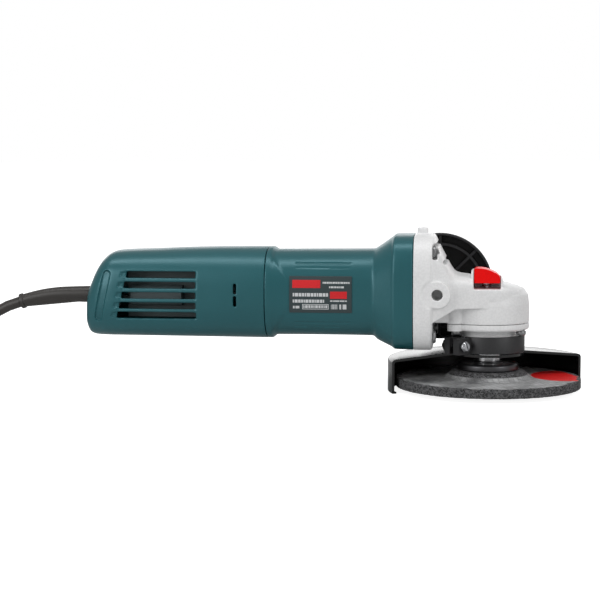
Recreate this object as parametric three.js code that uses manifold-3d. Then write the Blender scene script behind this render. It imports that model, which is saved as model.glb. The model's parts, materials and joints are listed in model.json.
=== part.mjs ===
// Corded 115 mm angle grinder with guard and side handle, as separate working pieces.
// Millimetres, +Z up. The origin is the centre of the spindle's lower end face.
// The motor axis runs along X with the gear head at +X; the side handle is on the +Y side.
// Inside the "tool" group heights are measured from the motor axis, AXIS_HEIGHT above the origin.

import * as THREE from "three";
import { mergeVertices } from "three/addons/utils/BufferGeometryUtils.js";
import Module from "manifold-3d";

const wasm = await Module();
wasm.setup();

// ---------------------------------------------------------------- driving dimensions

const AXIS_HEIGHT = 59; // motor axis above the spindle's end face
const GAP = 0.3; // clearance between pieces that touch in the real tool
const WALL = 2.5; // plastic wall

const DISC_RADIUS = 57.5;
const DISC_BORE = 11.1;
const DISC_BOTTOM = -58.2;
const DISC_THICKNESS = 5.6;
const HUB_RISE = 4.8; // how far the disc's centre is raised

const COVER_REAR = -251.3;
const COVER_FRONT = -136.9;
const HOUSING_REAR = -136.6;
const HOUSING_FRONT = -45.7;
const HEAD_BACK = -45.4;
const HEAD_PLATE_FRONT = -34;

const CASE_RADIUS = 25.2; // gear case about the spindle
const CASE_BOTTOM = -17.9;
const PLATE_BOTTOM = -22.2; // underside of the bearing flange's plate
const NECK_BOTTOM = -35.8; // underside of the bearing flange's neck
const NECK_RADIUS = 20.2;
const GEAR_CHAMBER = 19.2;

const COLLAR_RADIUS = 22.6;
const COLLAR_TOP = -25.7;
const COLLAR_BOTTOM = -36.1;
const CLAMP_AZIMUTH = 227.5; // degrees, where the collar is split
const CLAMP_REACH = 28.6; // clamp screw's distance from the spindle
const CLAMP_HEIGHT = -31;

const GUARD_RADIUS = 62.3;
const GUARD_SHEET = 1.5;
const GUARD_BOTTOM = -61.2;
const GUARD_AZIMUTH = 20; // degrees, right-hand end of the covered half
const FLOOR = GUARD_BOTTOM; // the surface that the tool stands on

const HANDLE_X = -31;
const HANDLE_Z = 0.9;
const BOSS_FACE = 33.5; // handle boss faces, either side
const HAND_GUARD_RADIUS = 34.2;
const HAND_GUARD_FRONT = 36;
const HANDLE_END = 152;

const PINION_TEETH = 12;
const CROWN_TEETH = 33;
const GEAR_RATIO = CROWN_TEETH / PINION_TEETH;
const GEAR_HEEL = 18.2; // outer end of the teeth, from the spindle axis
const GEAR_TOE = 13.2;

const SCREW_SPREAD_Y = 26.5; // gear head to motor housing screws
const SCREW_LEVELS = [26.7, -25.1];
const FLANGE_SCREWS = [[20, 11], [20, -11], [-19.6, 14], [-19.6, -14]];
const COLUMN = [-20, 16]; // screw columns behind the gear case, either side
const COLUMN_RADIUS = 5;
const EXHAUSTS = [[-25.2, 20.2], [-30.8, 30.4]]; // where each slot meets the neck's sloping top

const BUTTON_FLOOR = 3.9; // bottom of the lock button's pocket
const PIN_X = -1;
const PIN_Y = -10;

const STATOR_REAR = -118;
const STATOR_FRONT = -72;
const BRUSH_X = -143;
const CORD_RADIUS = 3.5;
const CORD_AXIS_Z = -2.8; // where the cord enters the rear cover

const FINISHES = {
  teal_plastic: { color: 0x2c666b, roughness: 0.5, metalness: 0 },
  grey_paint: { color: 0xd6d7d8, roughness: 0.45, metalness: 0.1 },
  black_steel: { color: 0x1b1b1c, roughness: 0.45, metalness: 0.3 },
  bright_steel: { color: 0xb9bcc0, roughness: 0.25, metalness: 1 },
  black_plastic: { color: 0x151516, roughness: 0.55, metalness: 0 },
  red_plastic: { color: 0xe01a14, roughness: 0.35, metalness: 0 },
  cord_rubber: { color: 0x2e2826, roughness: 0.6, metalness: 0 },
  abrasive: { color: 0x5c5d5e, roughness: 0.95, metalness: 0 },
  label_plate: { color: 0x3d474b, roughness: 0.4, metalness: 0 },
  laminated_steel: { color: 0x70757a, roughness: 0.4, metalness: 0.9 },
  copper_wire: { color: 0xb5622c, roughness: 0.35, metalness: 0.9 },
  brass: { color: 0xc8a24a, roughness: 0.3, metalness: 1 },
  carbon: { color: 0x26282a, roughness: 0.8, metalness: 0 },
};

// ---------------------------------------------------------------- solids

const AXIS_X = new THREE.Vector3(1, 0, 0);
const AXIS_Y = new THREE.Vector3(0, 1, 0);
const AXIS_Z = new THREE.Vector3(0, 0, 1);
const radians = THREE.MathUtils.degToRad;

// A closed three.js geometry as a manifold solid, without its zero-size triangles.
function solid(geometry) {
  const bare = geometry.clone();
  bare.deleteAttribute("normal");
  bare.deleteAttribute("uv");
  const merged = mergeVertices(bare, 1e-4);
  const index = merged.index.array;
  const kept = [];
  for (let i = 0; i < index.length; i += 3) {
    const [a, b, c] = [index[i], index[i + 1], index[i + 2]];
    if (a !== b && b !== c && c !== a) kept.push(a, b, c);
  }
  const vertProperties = new Float32Array(merged.attributes.position.array);
  return new wasm.Manifold(new wasm.Mesh({ numProp: 3, vertProperties, triVerts: new Uint32Array(kept) }));
}

function geometryOf(body) {
  const { vertProperties, triVerts } = body.getMesh();
  const geometry = new THREE.BufferGeometry();
  geometry.setAttribute("position", new THREE.BufferAttribute(vertProperties, 3));
  geometry.setIndex(new THREE.BufferAttribute(triVerts, 1));
  return geometry;
}

const join = (bodies) => bodies.reduce((sum, body) => sum.add(body));
const cut = (body, tools) => tools.reduce((rest, tool) => rest.subtract(tool), body);

function box(x, y, z) {
  const shape = new THREE.BoxGeometry(x[1] - x[0], y[1] - y[0], z[1] - z[0]);
  shape.translate((x[0] + x[1]) / 2, (y[0] + y[1]) / 2, (z[0] + z[1]) / 2);
  return solid(shape);
}

// Cylinders along X, Y and Z, between two places on that axis.
function rod(axis, radius, from, to, centre = [0, 0], sides = 20) {
  const shape = new THREE.CylinderGeometry(radius, radius, to - from, sides);
  shape.translate(0, (from + to) / 2, 0);
  if (axis === "x") shape.rotateZ(-Math.PI / 2).translate(0, centre[0], centre[1]);
  if (axis === "y") shape.translate(centre[0], 0, centre[1]);
  if (axis === "z") shape.rotateX(Math.PI / 2).translate(centre[0], centre[1], 0);
  return solid(shape);
}

// A turned piece about X, Y or Z from closed [radius, place] points.
function turned(axis, points, sides = 24) {
  const outline = [...points, points[0]].map(([radius, place]) => new THREE.Vector2(radius, place));
  const shape = new THREE.LatheGeometry(outline, sides);
  if (axis === "x") shape.rotateZ(-Math.PI / 2);
  if (axis === "z") shape.rotateX(Math.PI / 2);
  const body = solid(shape);
  return body.volume() > 0 ? body : solid(flipped(shape));
}

function flipped(geometry) {
  const copy = geometry.clone();
  const index = copy.index.array;
  for (let i = 0; i < index.length; i += 3) {
    [index[i], index[i + 1]] = [index[i + 1], index[i]];
  }
  return copy;
}

function outline(points) {
  return new THREE.Shape(points.map(([a, b]) => new THREE.Vector2(a, b)));
}

// An outline extruded along X (drawn in Y, Z), Y (drawn in X, Z) or Z (drawn in X, Y).
function extruded(axis, shape, from, to, curveSegments = 10) {
  const geometry = new THREE.ExtrudeGeometry(shape, { depth: to - from, bevelEnabled: false, curveSegments });
  const turn = new THREE.Matrix4();
  if (axis === "x") turn.makeBasis(AXIS_Y, AXIS_Z, AXIS_X);
  if (axis === "y") turn.makeBasis(AXIS_X, AXIS_Z, AXIS_Y.clone().negate());
  const start = new THREE.Vector3(0, 0, axis === "y" ? -to : from);
  return solid(geometry.applyMatrix4(turn.multiply(new THREE.Matrix4().setPosition(start))));
}

const rounding = (value, power) => Math.sign(value) * Math.abs(value) ** (2 / power);

// A closed skin through rounded sections across X. Each is [x, half width, low, high, power];
// a power of 2 is an oval and a higher one is squarer.
function lofted(sections, sides = 24) {
  const rows = sections.length - 1;
  const ordered = sections[0][0] > sections[rows][0] ? sections : [...sections].reverse();
  const shape = new THREE.CylinderGeometry(1, 1, rows, sides, rows);
  const points = shape.attributes.position;
  for (let i = 0; i < points.count; i += 1) {
    const [x, half, low, high, power] = ordered[Math.round(rows / 2 - points.getY(i))];
    const y = half * rounding(points.getZ(i), power);
    const z = (high + low) / 2 + ((high - low) / 2) * rounding(points.getX(i), power);
    points.setXYZ(i, x, y, z);
  }
  return solid(shape);
}

const inset = (sections, depth) =>
  sections.map(([x, half, low, high, power]) => [x, half - depth, low + depth, high - depth, power]);

// A round skin along a path in the XZ plane; each station is [x, z, radius].
function swept(stations, sides = 16) {
  const rows = stations.length - 1;
  const shape = new THREE.CylinderGeometry(1, 1, rows, sides, rows);
  const points = shape.attributes.position;
  for (let i = 0; i < points.count; i += 1) {
    const row = Math.round(rows / 2 - points.getY(i));
    const [x, z, radius] = stations[row];
    const before = stations[Math.max(row - 1, 0)];
    const after = stations[Math.min(row + 1, rows)];
    const slope = Math.atan2(after[1] - before[1], after[0] - before[0]);
    const up = points.getX(i) * radius;
    points.setXYZ(i, x + Math.sin(slope) * up, points.getZ(i) * radius, z - Math.cos(slope) * up);
  }
  const body = solid(shape);
  return body.volume() > 0 ? body : solid(flipped(shape));
}

// A tube of constant radius along a smooth curve.
function tube(curve, radius, steps, sides = 8) {
  const section = new THREE.Shape();
  for (let i = 0; i < sides; i += 1) {
    const angle = (2 * Math.PI * i) / sides;
    const corner = [radius * Math.cos(angle), radius * Math.sin(angle)];
    if (i === 0) section.moveTo(...corner);
    else section.lineTo(...corner);
  }
  return solid(new THREE.ExtrudeGeometry(section, { steps, extrudePath: curve, bevelEnabled: false }));
}

// A compression spring about Z.
function spring(radius, wire, bottom, top, turns) {
  const points = [];
  const steps = turns * 8;
  for (let i = 0; i <= steps; i += 1) {
    const angle = (2 * Math.PI * turns * i) / steps;
    const z = bottom + ((top - bottom) * i) / steps;
    points.push(new THREE.Vector3(radius * Math.cos(angle), radius * Math.sin(angle), z));
  }
  return tube(new THREE.CatmullRomCurve3(points), wire, steps, 4);
}

// A ring sector drawn in two dimensions, between two angles in degrees.
function sector(inner, outer, from, to) {
  const shape = new THREE.Shape();
  shape.absarc(0, 0, outer, radians(from), radians(to), false);
  shape.absarc(0, 0, inner, radians(to), radians(from), true);
  return shape;
}

// A block whose two ends differ: each end is [place, base half width, tip half width, base, tip].
function tapered(heel, toe) {
  const shape = new THREE.BoxGeometry(2, 2, 2);
  const points = shape.attributes.position;
  for (let i = 0; i < points.count; i += 1) {
    const [place, baseHalf, tipHalf, base, tip] = points.getX(i) < 0 ? heel : toe;
    const atTip = points.getZ(i) > 0;
    points.setXYZ(i, place, points.getY(i) * (atTip ? tipHalf : baseHalf), atTip ? tip : base);
  }
  return solid(shape);
}

// ---------------------------------------------------------------- rear cover

const COVER_SECTIONS = [
  [COVER_REAR, 15.5, -22.4, -9.8, 2.4],
  [-250.2, 19.5, -25.9, 2.2, 2.5],
  [-248.4, 22.4, -27.2, 6.9, 2.7],
  [-244.6, 24.8, -27.9, 15.3, 2.8],
  [-240.8, 26.2, -28.0, 20.7, 2.9],
  [-236.2, 27.0, -28.1, 24.4, 3.0],
  [-231.2, 27.5, -28.1, 25.7, 3.0],
  [-202.0, 28.6, -28.3, 26.9, 2.9],
  [-171.0, 29.4, -28.6, 28.0, 2.7],
  [COVER_FRONT, 29.6, -28.9, 28.3, 2.6],
];
const VENT_LEVELS = [11.8, 5.4, -1, -7.3, -13.3];
const VENT_FRONT = -179.6;
const VENT_HEIGHT = 4;
const VENT_REAR_TOP = -223.3;
const VENT_STAGGER = 1.55; // each lower vent starts this much further back

function coverCuts() {
  const vents = VENT_LEVELS.map((level, row) => {
    const rear = VENT_REAR_TOP - VENT_STAGGER * row;
    return box([rear, VENT_FRONT], [-40, 40], [level - VENT_HEIGHT / 2, level + VENT_HEIGHT / 2]);
  });
  const latches = [[0.2, 6.6], [-7.4, -1]].map((height) => box([-156, -154.1], [-40, 40], height));
  return [...vents, ...latches];
}

function rearCover() {
  const inner = inset(COVER_SECTIONS.slice(1), WALL);
  inner[inner.length - 1][0] = COVER_FRONT + 1;
  const screws = rod("z", 3.4, -32, -20, [COVER_SCREW_X, 0], 14);
  const entry = rod("x", 5.7, -258, -240, [0, CORD_AXIS_Z]);
  return cut(lofted(COVER_SECTIONS), [lofted(inner), entry, screws, ...coverCuts()]);
}

const COVER_SCREW_X = -150;
const coverScrew = () =>
  turned("z", [[0, -18], [1.6, -18], [1.6, -25.2], [3, -25.2], [3, -27.2], [0, -27.2]], 12)
    .translate([COVER_SCREW_X, 0, 0]);

// ---------------------------------------------------------------- motor housing

const HOUSING_SECTIONS = [
  [HOUSING_REAR, 29.6, -28.9, 28.3, 2.6],
  [-133.6, 29.4, -28.7, 28.1, 2.6],
  [-131.6, 27.6, -26.9, 26.6, 2.6],
  [-100.0, 27.6, -26.7, 26.9, 2.7],
  [-71.0, 27.6, -26.9, 27.1, 2.8],
  [-68.0, 28.8, -29.2, 28.6, 3.0],
  [-58.8, 33.5, -33.3, 35.1, 3.6],
  [-57.3, 34.4, -34.3, 36.2, 4.0],
  [HOUSING_FRONT, 34.6, -34.6, 36.4, 4.2],
];
const SLIDER_LEVEL = -7;
const SLIDER_SLOT = [-120, -92];

function housingHollow() {
  return lofted([
    [HOUSING_REAR - 1, 25.1, -24.1, 24.0, 2.6],
    [-71.5, 25.1, -23.9, 24.3, 2.8],
    [-66, 27.6, -27, 27.6, 3.0],
    [-60, 30.8, -30.8, 31.8, 3.0],
    [HOUSING_FRONT + 1, 31, -31, 32, 3.0],
  ]);
}

function bearingSpider() {
  const arm = [box([-165.5, -131], [-4, 4], [15, 24.7]), box([-165.5, -156], [-4, 4], [12.6, 16])];
  const lower = [box([-165.5, -131], [-4, 4], [-24.9, -15]), box([-165.5, -156], [-4, 4], [-16, -12.6])];
  const cup = turned("x", [[11.3, -165.5], [13.6, -165.5], [13.6, -156], [11.3, -156]], 32);
  return cut(join([cup, ...arm, ...lower]), [rod("z", 1.9, -30, 0, [COVER_SCREW_X, 0], 12)]);
}

function motorHousing() {
  const shell = lofted(HOUSING_SECTIONS).subtract(housingHollow());
  const slot = box(SLIDER_SLOT, [15, 40], [SLIDER_LEVEL - 2.5, SLIDER_LEVEL + 2.5]);
  const holes = flangeCorners().map((corner) => rod("x", 2.4, -57.6, -45, corner, 8));
  return cut(shell.add(bearingSpider()), [slot, ...holes]);
}

const flangeCorners = () =>
  [1, -1].flatMap((side) => SCREW_LEVELS.map((level) => [side * SCREW_SPREAD_Y, level]));

// The rating plate follows the side of the grip.
function namePlate() {
  const thick = inset(HOUSING_SECTIONS.slice(2, 5), -0.75);
  const thin = inset(HOUSING_SECTIONS.slice(2, 5), -GAP);
  return lofted(thick, 80).subtract(lofted(thin, 80)).intersect(box([-121.3, -83], [-40, -10], [-10.8, 11.6]));
}

function switchSlider() {
  const pad = box([-117, -99], [28.2, 31.2], [SLIDER_LEVEL - 4.5, SLIDER_LEVEL + 4.5]);
  const ridges = [0, 1, 2, 3].map((i) => box([-114.5 + 3.6 * i, -113 + 3.6 * i], [31, 32.2], [-10.5, -3.5]));
  const neck = box([-115, -101], [24.3, 29], [SLIDER_LEVEL - 2.1, SLIDER_LEVEL + 2.1]);
  return join([pad, neck, ...ridges]);
}

const switchRod = () => box([-178.5, -101.5], [22.2, 24], [SLIDER_LEVEL - 2.2, SLIDER_LEVEL + 2.2]);

function switchModule() {
  const body = box([-226, -181], [-8, 19], [-16, 15]);
  const terminals = [-6, 4].map((z) => box([-230, -225], [-4, 12], [z - 1, z + 3]));
  const capacitor = rod("x", 6.5, -222, -190, [-13.5, -2], 20);
  return join([body, capacitor, ...terminals]);
}

function cordClamp() {
  const body = box([-241.5, -235.5], [-10, 10], [CORD_AXIS_Z - 8, CORD_AXIS_Z + 8]);
  return body.subtract(rod("x", 4, -243, -234, [0, CORD_AXIS_Z], 16));
}

// ---------------------------------------------------------------- motor

function statorCore() {
  const round = new THREE.Shape();
  round.absarc(0, 0, 23.4, 0, 2 * Math.PI, false);
  const core = extruded("x", round, STATOR_REAR, STATOR_FRONT, 16);
  const flats = box([-130, -60], [-21.5, 21.5], [-30, 30]);
  const pockets = [28, 124, 208, 304].map((from) =>
    extruded("x", sector(15, 20.6, from, from + 28), STATOR_REAR - 1, STATOR_FRONT + 1, 8),
  );
  return cut(core.intersect(flats), [rod("x", 15.4, -130, -60, [0, 0], 24), ...pockets]);
}

// One saddle-shaped field coil round a pole; the other is its mirror image.
function fieldCoil(side) {
  const middle = 90 * side;
  const whole = extruded("x", sector(16.2, 20.2, middle - 60, middle + 60), -124, -68.2, 10);
  const window = extruded("x", sector(15, 22, middle - 36, middle + 36), -119, -71.2, 8);
  return whole.subtract(window);
}

const ARMATURE_SLOTS = 12;

function armatureCore() {
  const stack = turned("x", [[5.3, -117], [14.7, -117], [14.7, -73], [5.3, -73]], 24);
  return cut(stack, armatureSlots(1.5, 9, 16, [-118, -72]));
}

function armatureSlots(half, low, high, x) {
  return Array.from({ length: ARMATURE_SLOTS }, (_, i) => {
    const bar = new THREE.BoxGeometry(x[1] - x[0], 2 * half, high - low);
    bar.translate((x[0] + x[1]) / 2, 0, (low + high) / 2);
    return solid(bar.rotateX((2 * Math.PI * i) / ARMATURE_SLOTS));
  });
}

function armatureWindings() {
  const rear = turned("x", [[7, -123.5], [12, -123.5], [13.6, -121.5], [13.6, -117.3], [7, -117.3]], 12);
  const front = turned("x", [[7, -72.7], [13.6, -72.7], [13.6, -69], [12, -67], [7, -67]], 12);
  return join([rear, front, ...armatureSlots(1.1, 9.6, 13.2, [-118, -72])]);
}

const armatureShaft = () =>
  turned("x", [[0, -166], [4, -166], [4, -156.5], [5, -156.5], [5, -36.8], [4.2, -36.8], [4.2, -24.4],
    [2.8, -24.4], [2.8, -12.6], [0, -12.6]], 20);

function commutator() {
  const ring = turned("x", [[5.3, -150], [11, -150], [11, -138], [12, -137.4], [12, -136], [5.3, -136]], 24);
  return cut(ring, armatureSlots(0.25, 10, 13, [-151, -138]));
}

function coolingFan() {
  const hub = turned("x", [[5.3, -63], [26, -63], [26, -61.6], [9, -61.6], [9, -53], [5.3, -53]], 22);
  const blades = Array.from({ length: 11 }, (_, i) => {
    const blade = new THREE.BoxGeometry(8.6, 1.2, 13.5).translate(-57.6, 0, 18.6);
    return solid(blade.rotateX((2 * Math.PI * i) / 11));
  });
  return join([hub, ...blades]);
}

const airBaffle = () => turned("x", [[17, -66.4], [24.8, -66.4], [24.8, -64.6], [17, -64.6]], 24);
const ringBearing = (axis, bore, outer, from, to) =>
  turned(axis, [[bore, from], [outer, from], [outer, to], [bore, to]], 24);

// Brush gear on one side of the commutator, drawn at +Y.
function brushHolder() {
  const shell = box([BRUSH_X - 6, BRUSH_X + 6], [12.2, 23.6], [-4, 4]);
  return shell.subtract(box([BRUSH_X - 4.8, BRUSH_X + 4.8], [12, 24], [-2.8, 2.8]));
}

const carbonBrush = () => box([BRUSH_X - 4.5, BRUSH_X + 4.5], [11.3, 19.5], [-2.5, 2.5]);
const brushSpring = () => spring(2, 0.3, 19.8 + GAP, 23.2, 3);

// ---------------------------------------------------------------- gear head

function headOutside() {
  const plate = lofted([
    [HEAD_BACK, 34.6, -34.6, 36.4, 4.2],
    [-35.4, 34.6, -34.6, 36.4, 4.2],
    [HEAD_PLATE_FRONT, 33.6, -33.4, 35.6, 4.0],
  ], 24);
  const neck = lofted([
    [-35, 33.2, -16, 36.1, 4.6],
    [-33.6, 33.1, -15.2, 36.0, 4.6],
    [-28, 31.4, -12, 24.9, 4.8],
    [-20.7, 28.6, -7.6, 12.6, 5.0],
    [-12, 26.8, -7, 10.7, 5.0],
    [-3, 25.5, -6.8, 8.8, 5.0],
    [5, 24.5, -6.8, 7.2, 4.6],
    [12, 21.4, -6.5, 6, 4.0],
    [18.5, 15.5, -6, 4.4, 3.2],
  ], 28);
  const throat = box([-35, -14], [-19, 19], [-17.3, 0]);
  const gearCase = turned("z", [[0, 5.6], [12, 5.6], [17.5, 5.1], [21.9, 3.2], [24.4, -0.4], [25.1, -6],
    [CASE_RADIUS, -14], [CASE_RADIUS, CASE_BOTTOM], [0, CASE_BOTTOM]], 28);
  const bosses = rod("y", 8.2, -BOSS_FACE, BOSS_FACE, [HANDLE_X, HANDLE_Z], 20);
  const tab = box([-43.9, -37.5], [-5, 5], [33, 40.5]);
  return join([plate, neck, shoulder(), throat, gearCase, bosses, ...screwColumns(CASE_BOTTOM, -5), tab, lockTurret()]);
}

// A sharp-edged underside to the neck, as wide as the neck, that runs out along the gear case.
function shoulder() {
  const side = outline([[-34.5, -16.6], [-20.3, -8.2], [0, -7.6], [0, -2], [-34.5, -2]]);
  const halfPlan = [[-35, 33], [-28, 31.3], [-20.7, 28.5], [-12, 26.7], [-3, 25.4], [0, 25.2]];
  const plan = outline([...halfPlan, ...halfPlan.map(([x, y]) => [x, -y]).reverse()]);
  return extruded("y", side, -34, 34).intersect(extruded("z", plan, -20, 0));
}

const screwColumns = (bottom, top) =>
  [-1, 1].map((side) => rod("z", COLUMN_RADIUS, bottom, top, [COLUMN[0], COLUMN[1] * side], 16));

// Walls either side of the lock button, open towards -Y and upwards.
function lockTurret() {
  const side = outline([[-10.7, -4], [8.8, -4], [8.8, 9.6], [8, 11], [-2, 14.6], [-9.6, 15.2], [-10.7, 14]]);
  const block = extruded("y", side, -21.8, -3.2);
  return block.subtract(box([-9.2, 7.3], [-23, -4.4], [BUTTON_FLOOR, 20]));
}

function headInside() {
  const chamber = turned("z", [[0, -3.5], [17.6, -3.5], [GEAR_CHAMBER, -5], [GEAR_CHAMBER, -21], [0, -21]], 28);
  const pinionPassage = rod("x", 8.6, -38, -9, [0, 0], 18);
  const bearingCup = rod("x", 13.3, HEAD_BACK - 1, -37, [0, 0], 24);
  const upperSeat = rod("z", 7.3, -6, 1.8, [0, 0], 20);
  const pinHole = rod("z", 1.8, -5, 5, [PIN_X, PIN_Y], 10);
  const pocket = box([-9.2, 7.3], [-30, -4.4], [BUTTON_FLOOR, 20]);
  const nearHole = rod("y", 3.4, -40, -18, [HANDLE_X, HANDLE_Z], 14);
  const farHole = rod("y", 4.35, 18, 40, [HANDLE_X, HANDLE_Z], 14);
  const seats = [[-40, -BOSS_FACE], [BOSS_FACE, 40]].map((y) => rod("y", 9.8, ...y, [HANDLE_X, HANDLE_Z], 18));
  const exhausts = EXHAUSTS.map(([, z]) => box([-50, -15], [-19, 19], [z - 1.3, z + 1.3]));
  const louvres = EXHAUSTS.map(([x, z]) => box([x - 2.4, x + 8], [-40, 40], [z - 1.3, z + 1.3]));
  const recesses = [1, -1].map((side) => screwRecess(side > 0 ? [SCREW_SPREAD_Y - 4.3, 40] : [-40, 4.3 - SCREW_SPREAD_Y]));
  const holes = flangeCorners().map((corner) => rod("x", 2.4, -50, -30, corner, 8));
  const taps = FLANGE_SCREWS.map((place) => rod("z", 2.2, -23, -12, place, 8));
  return [chamber, pinionPassage, bearingCup, upperSeat, pinHole, pocket, nearHole, farHole,
    ...seats, ...exhausts, ...louvres, ...recesses, ...holes, ...taps];
}

// Room for the head of an upper housing screw, open to the side.
function screwRecess(y) {
  const level = SCREW_LEVELS[0];
  return box([HEAD_PLATE_FRONT, -31.2], y, [level - 4.4, level + 4.4]);
}

const gearHead = () => cut(headOutside(), headInside());

const headScrew = ([y, z]) =>
  turned("x", [[0, -57.2], [2, -57.2], [2, -33.7], [3.8, -33.7], [3.8, -32.3], [3, -31.7], [0, -31.7]], 8)
    .translate([0, y, z]);

const flangeScrew = ([x, y]) =>
  turned("z", [[0, -13], [1.9, -13], [1.9, -22.5], [3, -22.5], [3, -24.4], [2.2, -25.2], [0, -25.2]], 8)
    .translate([x, y, 0]);

function bearingFlange() {
  const top = CASE_BOTTOM - GAP;
  const body = turned("z", [[16.3, -16], [18.8, -16], [18.8, top], [CASE_RADIUS, top],
    [CASE_RADIUS, PLATE_BOTTOM + 1], [24.3, PLATE_BOTTOM], [17.1, PLATE_BOTTOM], [17.1, -26.3], [NECK_RADIUS, -26.3],
    [NECK_RADIUS, NECK_BOTTOM], [9.8, NECK_BOTTOM], [9.8, -25.4], [16.3, -25.4]], 28);
  const ears = screwColumns(PLATE_BOTTOM, top).map((ear) => ear.subtract(rod("z", 18.8, -30, -10, [0, 0], 28)));
  return cut(join([body, ...ears]), FLANGE_SCREWS.map((place) => rod("z", 2.2, -30, -18, place, 8)));
}

// ---------------------------------------------------------------- spindle and gears

const spindle = () =>
  turned("z", [[0, -AXIS_HEIGHT], [6.2, -AXIS_HEIGHT], [6.9, -58.2], [6.9, -42.2], [8.3, -42.2], [8.3, -26], [6, -26],
    [6, -6.8], [3.2, -6.8], [3.2, 1.4], [0, 1.4]], 20);

// Straight bevel teeth: half widths shrink from heel to toe in proportion.
const TOOTH_BASE_HALF = 0.92;
const TOOTH_TIP_HALF = 0.42;
const ADDENDUM = 0.45;
const DEDENDUM = 0.85;

function crownGear() {
  const heelRoot = -GEAR_HEEL / GEAR_RATIO - DEDENDUM;
  const toeRoot = -GEAR_TOE / GEAR_RATIO - DEDENDUM;
  const blank = turned("z", [[6.3, -15.7], [15.5, -15.7], [GEAR_HEEL, -13], [GEAR_HEEL, heelRoot],
    [GEAR_TOE, toeRoot], [12, toeRoot - 0.6], [12, -9.5], [8.2, -9.5], [8.2, -7.2], [6.3, -7.2]], CROWN_TEETH);
  const shrink = GEAR_TOE / GEAR_HEEL;
  const teeth = Array.from({ length: CROWN_TEETH }, (_, i) => {
    const tooth = tapered(
      [-GEAR_HEEL, TOOTH_BASE_HALF, TOOTH_TIP_HALF, heelRoot - 0.4, heelRoot + DEDENDUM + ADDENDUM],
      [-GEAR_TOE, TOOTH_BASE_HALF * shrink, TOOTH_TIP_HALF * shrink, toeRoot - 0.4, toeRoot + DEDENDUM + ADDENDUM],
    );
    return tooth.rotate([0, 0, (360 * i) / CROWN_TEETH]);
  });
  const lockHoles = Array.from({ length: 6 }, (_, i) => {
    const angle = radians(60 * i + 264);
    return rod("z", 1.9, -17, -8, [10 * Math.cos(angle), 10 * Math.sin(angle)], 8);
  });
  return cut(join([blank, ...teeth]), lockHoles);
}

function bevelPinion() {
  const heelRoot = GEAR_HEEL / GEAR_RATIO - DEDENDUM;
  const toeRoot = GEAR_TOE / GEAR_RATIO - DEDENDUM;
  const blank = turned("x", [[3.1, -24.1], [5.4, -24.1], [5.4, -GEAR_HEEL], [heelRoot, -GEAR_HEEL],
    [toeRoot, -GEAR_TOE], [3.1, -GEAR_TOE]], 24);
  const shrink = GEAR_TOE / GEAR_HEEL;
  const teeth = Array.from({ length: PINION_TEETH }, (_, i) => {
    const tooth = tapered(
      [-GEAR_HEEL, TOOTH_BASE_HALF, TOOTH_TIP_HALF, heelRoot - 0.4, heelRoot + DEDENDUM + ADDENDUM],
      [-GEAR_TOE, TOOTH_BASE_HALF * shrink, TOOTH_TIP_HALF * shrink, toeRoot - 0.4, toeRoot + DEDENDUM + ADDENDUM],
    );
    return tooth.rotate([(360 * i) / PINION_TEETH, 0, 0]);
  });
  return join([blank, ...teeth]).rotate([180 + 180 / PINION_TEETH, 0, 0]);
}

// ---------------------------------------------------------------- disc and its clamping

const HUB_TOP = DISC_BOTTOM + DISC_THICKNESS + HUB_RISE;

function grindingDisc() {
  const top = DISC_BOTTOM + DISC_THICKNESS;
  return turned("z", [[DISC_BORE, HUB_TOP], [20.5, HUB_TOP], [22.4, HUB_TOP - 0.6], [26.4, top + 0.5], [28, top],
    [DISC_RADIUS - 0.5, top], [DISC_RADIUS, top - 0.5], [DISC_RADIUS, DISC_BOTTOM + 0.5],
    [DISC_RADIUS - 0.5, DISC_BOTTOM], [25.5, DISC_BOTTOM], [19.6, DISC_BOTTOM + HUB_RISE],
    [DISC_BORE, DISC_BOTTOM + HUB_RISE]], 36);
}

const innerFlange = () =>
  turned("z", [[7.2, -42.5], [9.4, -42.5], [9.4, -43.1], [18.1, -43.1], [19, -44], [19, HUB_TOP + GAP],
    [10.7, HUB_TOP + GAP], [10.7, -53.2], [7.2, -53.2]], 24);

function clampingNut() {
  const top = DISC_BOTTOM + HUB_RISE - GAP;
  const body = turned("z", [[7.2, top], [18.2, top], [18.2, top - 2.6], [15.6, top - 4.9], [7.2, top - 4.9]], 24);
  const holes = [-1, 1].map((side) => rod("z", 2.4, top - 6, top - 1.5, [12 * side, 0], 14));
  return cut(body, holes);
}

// ---------------------------------------------------------------- guard

function guard() {
  const shell = turned("z", [[21.2, -36.5], [60.4, -40], [61.8, -40.7], [GUARD_RADIUS, -42],
    [GUARD_RADIUS, GUARD_BOTTOM], [59.4, GUARD_BOTTOM], [59.4, GUARD_BOTTOM + 1.1],
    [GUARD_RADIUS - GUARD_SHEET, GUARD_BOTTOM + 1.6], [GUARD_RADIUS - GUARD_SHEET, -42.3], [60, -41.6],
    [21.2, -38.1]], 44);
  const half = new THREE.BoxGeometry(140, 70, 40).translate(0, 35, -50).rotateZ(radians(GUARD_AZIMUTH));
  return shell.intersect(solid(half).add(rod("z", 22, -60, -35, [0, 0], 36)));
}

// The split collar, drawn with its split at +X.
function clampCollar() {
  const ring = turned("z", [[NECK_RADIUS + GAP + 0.15, COLLAR_TOP], [COLLAR_RADIUS, COLLAR_TOP],
    [COLLAR_RADIUS, COLLAR_BOTTOM], [NECK_RADIUS + GAP + 0.15, COLLAR_BOTTOM]], 32);
  const lugs = box([21, 33], [-6, 6], [COLLAR_BOTTOM, COLLAR_TOP - 0.4]);
  const split = box([15, 40], [-1.5, 1.5], [-45, -20]);
  const hole = rod("y", 2.3, -10, 10, [CLAMP_REACH, CLAMP_HEIGHT], 16);
  return cut(ring.add(lugs), [split, hole]);
}

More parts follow.
